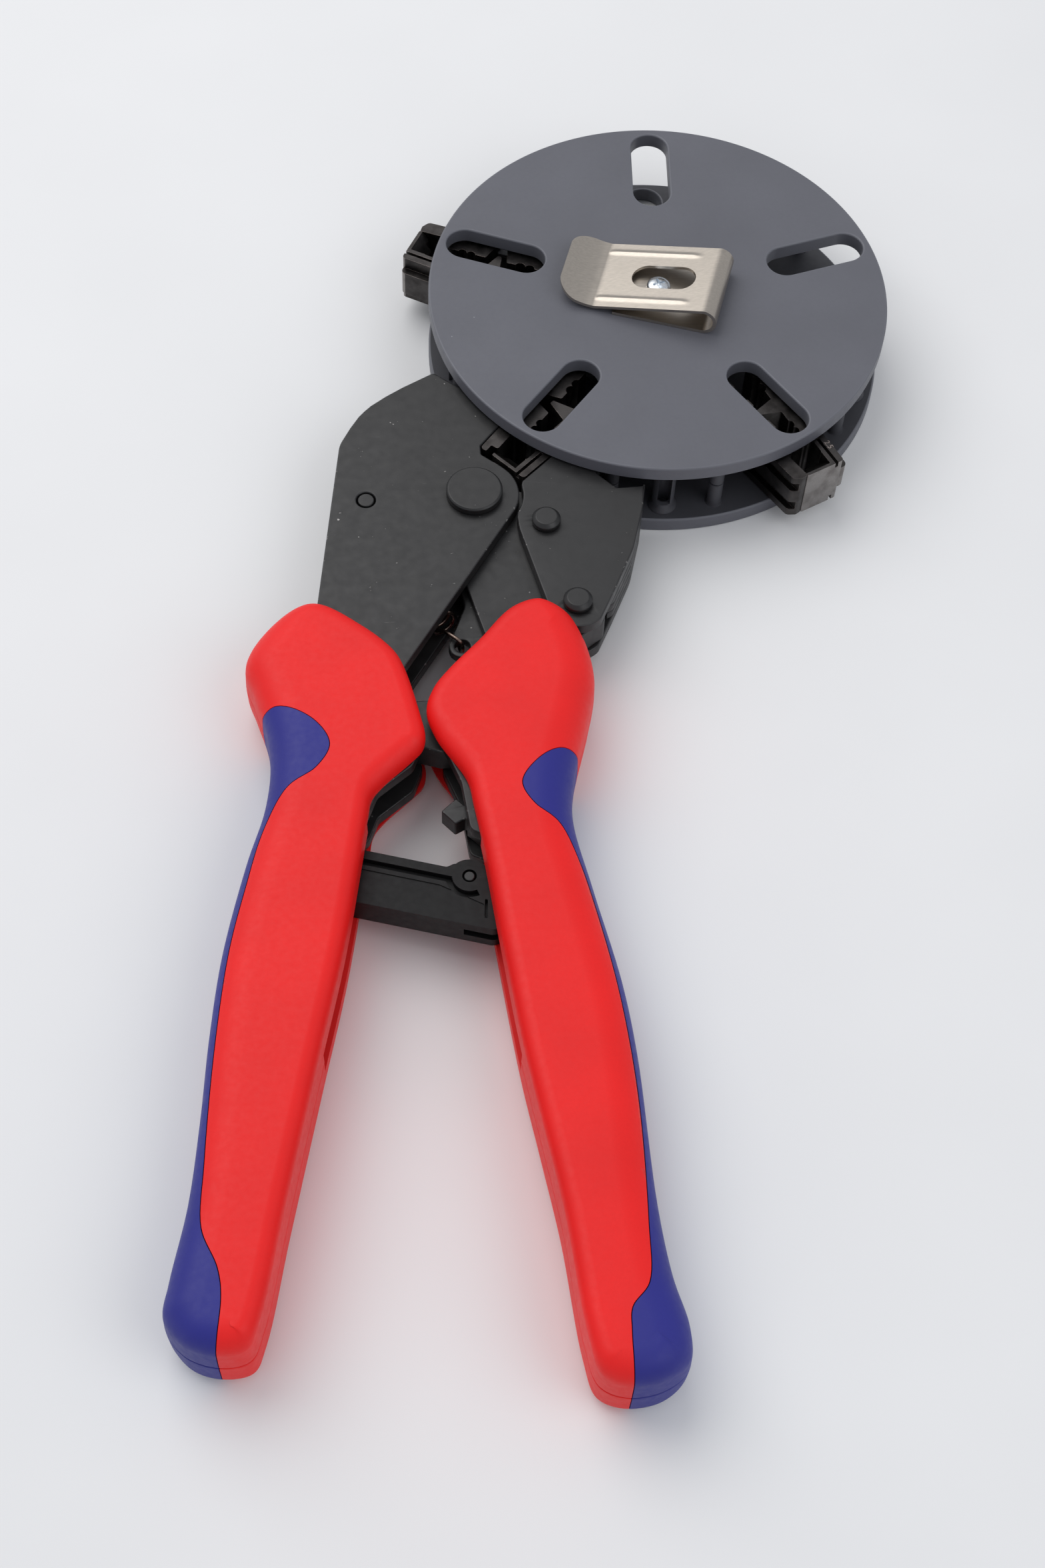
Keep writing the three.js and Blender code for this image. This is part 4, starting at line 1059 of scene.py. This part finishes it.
def clip_screw():
    """A pan head screw with a cross recess."""
    seat = DISC_OUTER + 0.1 + CLIP_SHEET + 0.1
    head = [(2.1, seat), (2.85, seat), (2.9, seat + 0.3), (2.8, seat + 0.8), (2.4, seat + 1.25)]
    head += [(1.7, seat + 1.5), (0.8, seat + 1.6), (0, seat + 1.6)]
    profile = [(0, -4.6), (1.8, -4.6), (2.1, -4.2), *head]
    piece = make("fine_clip_screw", lathe((0, 0), profile, 64), [zinc_steel])
    for turn in (20, 110):
        bar = [(1.5, 0.32), (-1.5, 0.32), (-1.5, -0.32), (1.5, -0.32)]
        loop = [turned_point(x, y, turn) for x, y in bar]
        cut(piece, [slab_tool(loop, seat + 0.6, seat + 3)])
    return piece


fitted(clip_screw(), "clip_screw", "zinc_steel", 35)

# ---------------------------------------------------------------- springs


def tube(path, radius, sides=12):
    """A closed round wire along a list of points."""
    vertices, faces = [], []
    count = len(path)
    side = Vector((0, 0, 1))
    for i, point in enumerate(path):
        along = (path[min(i + 1, count - 1)] - path[max(i - 1, 0)]).normalized()
        side = (side - along * side.dot(along)).normalized()
        other = along.cross(side)
        for k in range(sides):
            angle = 2 * math.pi * k / sides
            offset = side * math.cos(angle) + other * math.sin(angle)
            vertices.append(at(*(point + offset * radius)))
    for i in range(count - 1):
        for k in range(sides):
            a, b = i * sides + k, i * sides + (k + 1) % sides
            faces.append((a, b, b + sides, a + sides))
    faces.append(tuple(range(sides))[::-1])
    faces.append(tuple(range((count - 1) * sides, count * sides)))
    return vertices, faces, [False] * len(faces)


SPRING_ANCHOR = Vector((-68.8, -60.7))
SPRING_EAR = Vector((-47, -97))
RETURN_WIRE = 0.45
PAWL_WIRE = 0.3
PAWL_TURNS, PAWL_STEPS = 6, 12


def return_spring():
    along = (SPRING_EAR - SPRING_ANCHOR).normalized()
    side = Vector((-along.y, along.x))
    length = (SPRING_EAR - SPRING_ANCHOR).length

    def place(distance, offset, height):
        x, y = SPRING_ANCHOR + along * distance + side * offset
        return (x, y, height)

    hook = [(2, 2.8), (-2.2, 2.2), (-2.8, 0), (-1.6, -2.4), (2.4, -2.2)]
    points = [place(distance, offset, 0) for distance, offset in hook]
    turns, per_turn, coil = 15, 12, 2.75
    start, end = 6.5, length - 7.5
    for i in range(turns * per_turn + 1):
        phase = 2 * math.pi * i / per_turn
        distance = mix(start, end, i / (turns * per_turn))
        points.append(place(distance, -coil * math.cos(phase), coil * math.sin(phase)))
    loop = [
        (5.4, -1.8, 1.6), (3, -1, 2.2), (0.6, -0.1, 1.9), (0, 0, 0.4), (0.3, 0, -1.6),
        (2.4, 0.6, -2.2), (4.6, 1.6, -1.2), (5.6, 2, 0.4),
    ]
    points += [place(length - back, offset, height) for back, offset, height in loop]
    return [Vector(p) for p in catmull(points, False, 4)]


spring_mesh = tube(return_spring(), RETURN_WIRE)
spring = shaded(make("fine_return_spring", spring_mesh, [spring_steel]), 60)
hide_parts("return_spring")
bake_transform(spring)


def pawl_spring():
    steps = PAWL_TURNS * PAWL_STEPS
    points = []
    for i in range(steps + 1):
        phase = 2 * math.pi * i / PAWL_STEPS
        points.append((-33.6 + 4 * i / steps, -141 + 1.5 * math.cos(phase), 1.5 * math.sin(phase)))
    return [Vector(p) for p in points]


pawl_wire = make("fine_pawl_spring", tube(pawl_spring(), PAWL_WIRE, 8), [spring_steel])
fitted(pawl_wire, "pawl_spring", "spring_steel", 60)

# ---------------------------------------------------------------- handle shells

GRIPS = {
    "left": {
        "outline": [
            (-78.6, -91.2), (-68.6, -97), (-62, -103), (-59.7, -107), (-55.7, -120.6), (-54.8, -125.2),
            (-55.4, -128.4), (-57.8, -131.4), (-63.4, -137.2), (-65.8, -140.6), (-66.6, -145.4),
            (-70.5, -175), (-75, -200), (-80.3, -230), (-84, -251.5), (-86.2, -257), (-92, -258.2),
            (-98.4, -256), (-102.4, -250.6), (-101.8, -244), (-99.2, -229), (-97.9, -212), (-97.1, -194),
            (-95.5, -176), (-91.6, -155), (-88.4, -142), (-87.7, -131.4), (-89, -122.4), (-92, -113.4),
            (-94.1, -107), (-92.6, -101.2), (-85.4, -92.8),
        ],
        "inlay": [
            (-97, -117.8), (-90.5, -119.4), (-86.4, -118.9), (-78.4, -123), (-74.9, -129), (-77.6, -134.8),
            (-83.7, -139.6), (-87.8, -148), (-91.2, -163), (-93.7, -177), (-95.5, -200), (-96, -222),
            (-95.7, -235), (-92.2, -243), (-91.3, -248.6), (-92.4, -262),
        ],
        "beyond": [(-120, -262), (-120, -116.8)],
        "cavity": [
            (-86, -84), (-88, -99), (-88.6, -107), (-85.2, -121), (-85, -138), (-88, -158),
            (-90.6, -178), (-92.4, -212), (-92.8, -237.5), (-84.4, -237.5),
        ],
        "mouth": [(-70, -149.4), (-66, -145.5), (-50, -145.5), (-50, -84)],
        "slot": [(-62, -140), (-80, -140), (-83, -197), (-70, -197)],
        "outward": -1,
    },
    "right": {
        "outline": [
            (-30, -89.4), (-23.8, -92), (-20.7, -97), (-18.3, -108.6), (-19.6, -117), (-23.4, -134),
            (-23.9, -144.3), (-20.3, -160.5), (-15.1, -182), (-12.7, -198), (-10.2, -229), (-8, -243),
            (-5.3, -252.8), (-5.6, -259.2), (-10.4, -263.1), (-17.5, -264.2), (-22.4, -262),
            (-24.8, -254.6),
            (-28.4, -231.4), (-32, -214), (-35.6, -197), (-39.3, -175), (-42.8, -153), (-44.9, -142),
            (-46.3, -135.8), (-52.8, -125.4), (-54.9, -118.6), (-53.5, -113.2), (-50.2, -108.2),
            (-43.8, -100.7), (-36.4, -91.8),
        ],
        "inlay": [
            (-16, -131.8), (-22.4, -129.2), (-26.4, -129.2), (-31.6, -132.8), (-34.7, -138.2),
            (-32.2, -143.4),
            (-27, -147.6), (-23.4, -155.3), (-19.4, -170), (-15.7, -188.6), (-13.2, -210), (-12.6, -234),
            (-13.1, -246), (-16.4, -250.7), (-16.7, -255), (-16.2, -268),
        ],
        "beyond": [(10, -268), (10, -129.4)],
        "cavity": [
            (-14.5, -241.5), (-15.8, -206), (-20.3, -172), (-26, -148), (-24.8, -128), (-21.5, -109),
            (-22.4, -99.4), (-10, -97), (-10, -84),
        ],
        "mouth": [(-60, -84), (-60, -149.5), (-42.4, -149.5), (-24.2, -241.5)],
        "slot": [(-50, -140), (-34.6, -140), (-28.6, -197), (-44, -197)],
        "outward": 1,
    },
}
SKIN = 0.5  # red wall left between the hollow and the soft inlay
FLOOR = 7.5  # half height of the red core under the inlay
GROOVE = 0.09  # half width of the line between the two plastics


def moved(line, distance):
    """A line moved sideways, to the left of its direction."""
    result = []
    for i, point in enumerate(line):
        a, b = Vector(line[max(0, i - 1)]), Vector(line[min(len(line) - 1, i + 1)])
        along = (b - a).normalized()
        result.append(tuple(Vector(point) + Vector((-along.y, along.x)) * distance))
    return result


def grip_body(grip):
    """A half shell's outer form: wide rounding on the palm side, tighter on the inner side."""
    loop = turned_left(catmull(grip["outline"], True, 9))
    count = len(loop)
    widths, heights = [], []
    for i in range(count):
        a, b = Vector(loop[i - 1]), Vector(loop[(i + 1) % count])
        outward = Vector((b.y - a.y, a.x - b.x)).normalized()
        palm = clamp(outward.x * grip["outward"] * 1.3 - 0.15)
        end = clamp(-outward.y * 1.2 - 0.3)
        soft = max(palm, 0.55 * end)
        widths.append(mix(3.4, 8.0, soft))
        heights.append(mix(3.4, 6.6, soft))
    for _ in range(6):
        widths = smoothed(widths)
        heights = smoothed(heights)
    rings = [([0.35], SEAM), ([0.08], SEAM + 0.12), ([0.0], SEAM + 0.4)]
    steps = 9
    for k in range(steps + 1):
        angle = math.pi / 2 * k / steps
        insets = [0.15 + w * (1 - math.cos(angle)) for w in widths]
        level = [GRIP_HALF - h + h * math.sin(angle) for h in heights]
        rings.append((insets, level))
    return level_rings(loop, rings)


def smoothed(values):
    count = len(values)
    return [(values[i - 1] + values[i] * 2 + values[(i + 1) % count]) / 4 for i in range(count)]


def level_rings(loop, rings):
    """As sweep_rings, for one outline whose rings may have a height at each point."""
    flat = [(insets, 0.0) for insets, _ in rings]
    vertices, faces, marks = sweep_rings([loop], flat, (0, 0))
    count = len(loop)
    for r, (_, level) in enumerate(rings):
        for i in range(count):
            z = level[i] if isinstance(level, list) else level
            vertices[r * count + i].z = CENTER.z + z * MM
    return vertices, faces, marks


def mirrored(piece, name):
    """A copy turned over about the mid-plane."""
    mesh = piece.data.copy()
    for vertex in mesh.vertices:
        vertex.co.z = 2 * CENTER.z - vertex.co.z
    mesh.flip_normals()
    copy = bpy.data.objects.new(name, mesh)
    bpy.context.scene.collection.objects.link(copy)
    return copy


def inlay_region(grip, shift, reach, floor):
    """The inlay's space: outside its line, less the red core."""
    line = moved(catmull(grip["inlay"], False, 8), shift * grip["outward"])
    region = slab_tool(line + grip["beyond"], -30, 30)
    core = moved(grip["cavity"], -SKIN) + grip["mouth"]
    core_loop = moved(core, reach) if reach else core
    return cut(region, [slab_tool(core_loop, -floor, floor)])


def build_grip(side, grip):
    hollow = grip["cavity"] + grip["mouth"]
    hard = make(f"fine_{side}_grip_upper", grip_body(grip), [red_plastic])
    soft = make(f"fine_{side}_inlay_upper", grip_body(grip), [blue_plastic])
    cut(soft, [inlay_region(grip, GROOVE, 0, FLOOR)], "INTERSECT")
    cut(hard, [inlay_region(grip, -GROOVE, 0.3, FLOOR - 0.3)])
    cut(hard, [slab_tool(hollow, -CAVITY_HALF, CAVITY_HALF)])
    cut(hard, [slab_tool(grip["slot"], -PLATE_INNER, PLATE_INNER)])
    for part, piece, slot in (("grip", hard, "red_plastic"), ("inlay", soft, "blue_plastic")):
        lower = mirrored(piece, f"fine_{side}_{part}_lower")
        fitted(piece, f"{side}_{part}_upper", slot, 42)
        fitted(lower, f"{side}_{part}_lower", slot, 42)


for side, grip in GRIPS.items():
    build_grip(side, grip)

# ---------------------------------------------------------------- floor, light and camera


def plain_stage():
    size = 3.0
    corners = [(-size, -size, 0), (size, -size, 0), (size, size, 0), (-size, size, 0)]
    mesh = bpy.data.meshes.new("floor")
    mesh.from_pydata(corners, [], [(0, 1, 2, 3)])
    floor = bpy.data.objects.new("floor", mesh)
    bpy.context.scene.collection.objects.link(floor)
    s = Surface("pale_floor", 0.6, 0.0, 0.3)
    s.color(s.blended(s.ranged(s.noise(60, 3), 0.3, 0.7, 0, 1), (0.80, 0.805, 0.81), (0.82, 0.825, 0.83)))
    mesh.materials.append(s.material)
    floor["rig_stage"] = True


def soft_light(name, place, aim, size, power, color=(1, 1, 1)):
    data = bpy.data.lights.new(name, "AREA")
    data.shape = "DISK"
    data.size = size
    data.energy = power
    data.color = color
    light = bpy.data.objects.new(name, data)
    light.location = place
    light.rotation_euler = (Vector(aim) - Vector(place)).to_track_quat("-Z", "Y").to_euler()
    bpy.context.scene.collection.objects.link(light)


WORLD_STRENGTH = 0.56
KEY_POWER, FILL_POWER = 9.6, 3.4
LENS, SENSOR = 52.9, 36.0
EYE = (-50.88, -389.84, 417.11)  # mm from the magazine's centre


def studio():
    world = bpy.data.worlds.new("studio")
    world.use_nodes = True
    background = world.node_tree.nodes["Background"]
    background.inputs["Color"].default_value = (0.93, 0.95, 1.0, 1)
    background.inputs["Strength"].default_value = WORLD_STRENGTH
    bpy.context.scene.world = world
    soft_light("key", (-0.55, 0.55, 1.1), (0, 0, 0), 1.4, KEY_POWER, (1.0, 0.985, 0.97))
    soft_light("fill", (0.8, -0.5, 1.0), (0, 0, 0), 1.0, FILL_POWER, (0.97, 0.98, 1.0))
    bpy.context.scene.view_settings.view_transform = "Standard"


def camera():
    right = Vector((0.9994, -0.0161, 0.0298))
    up = Vector((-0.0020, 0.8506, 0.5257))
    back = right.cross(up).normalized()
    up = back.cross(right.normalized())
    data = bpy.data.cameras.new("camera")
    data.sensor_fit = "VERTICAL"
    data.sensor_height = SENSOR
    data.lens = LENS
    data.clip_start = 0.01
    eye = bpy.data.objects.new("camera", data)
    turn = Matrix((right.normalized(), up, back)).transposed().to_4x4()
    eye.matrix_world = Matrix.Translation(at(*EYE)) @ turn
    bpy.context.scene.collection.objects.link(eye)
    bpy.context.scene.camera = eye


plain_stage()
studio()
camera()

boxes = {"cad": cad_bounds, "visual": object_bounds()}
{key: [list(map(float, corner)) for corner in box] for key, box in boxes.items()}
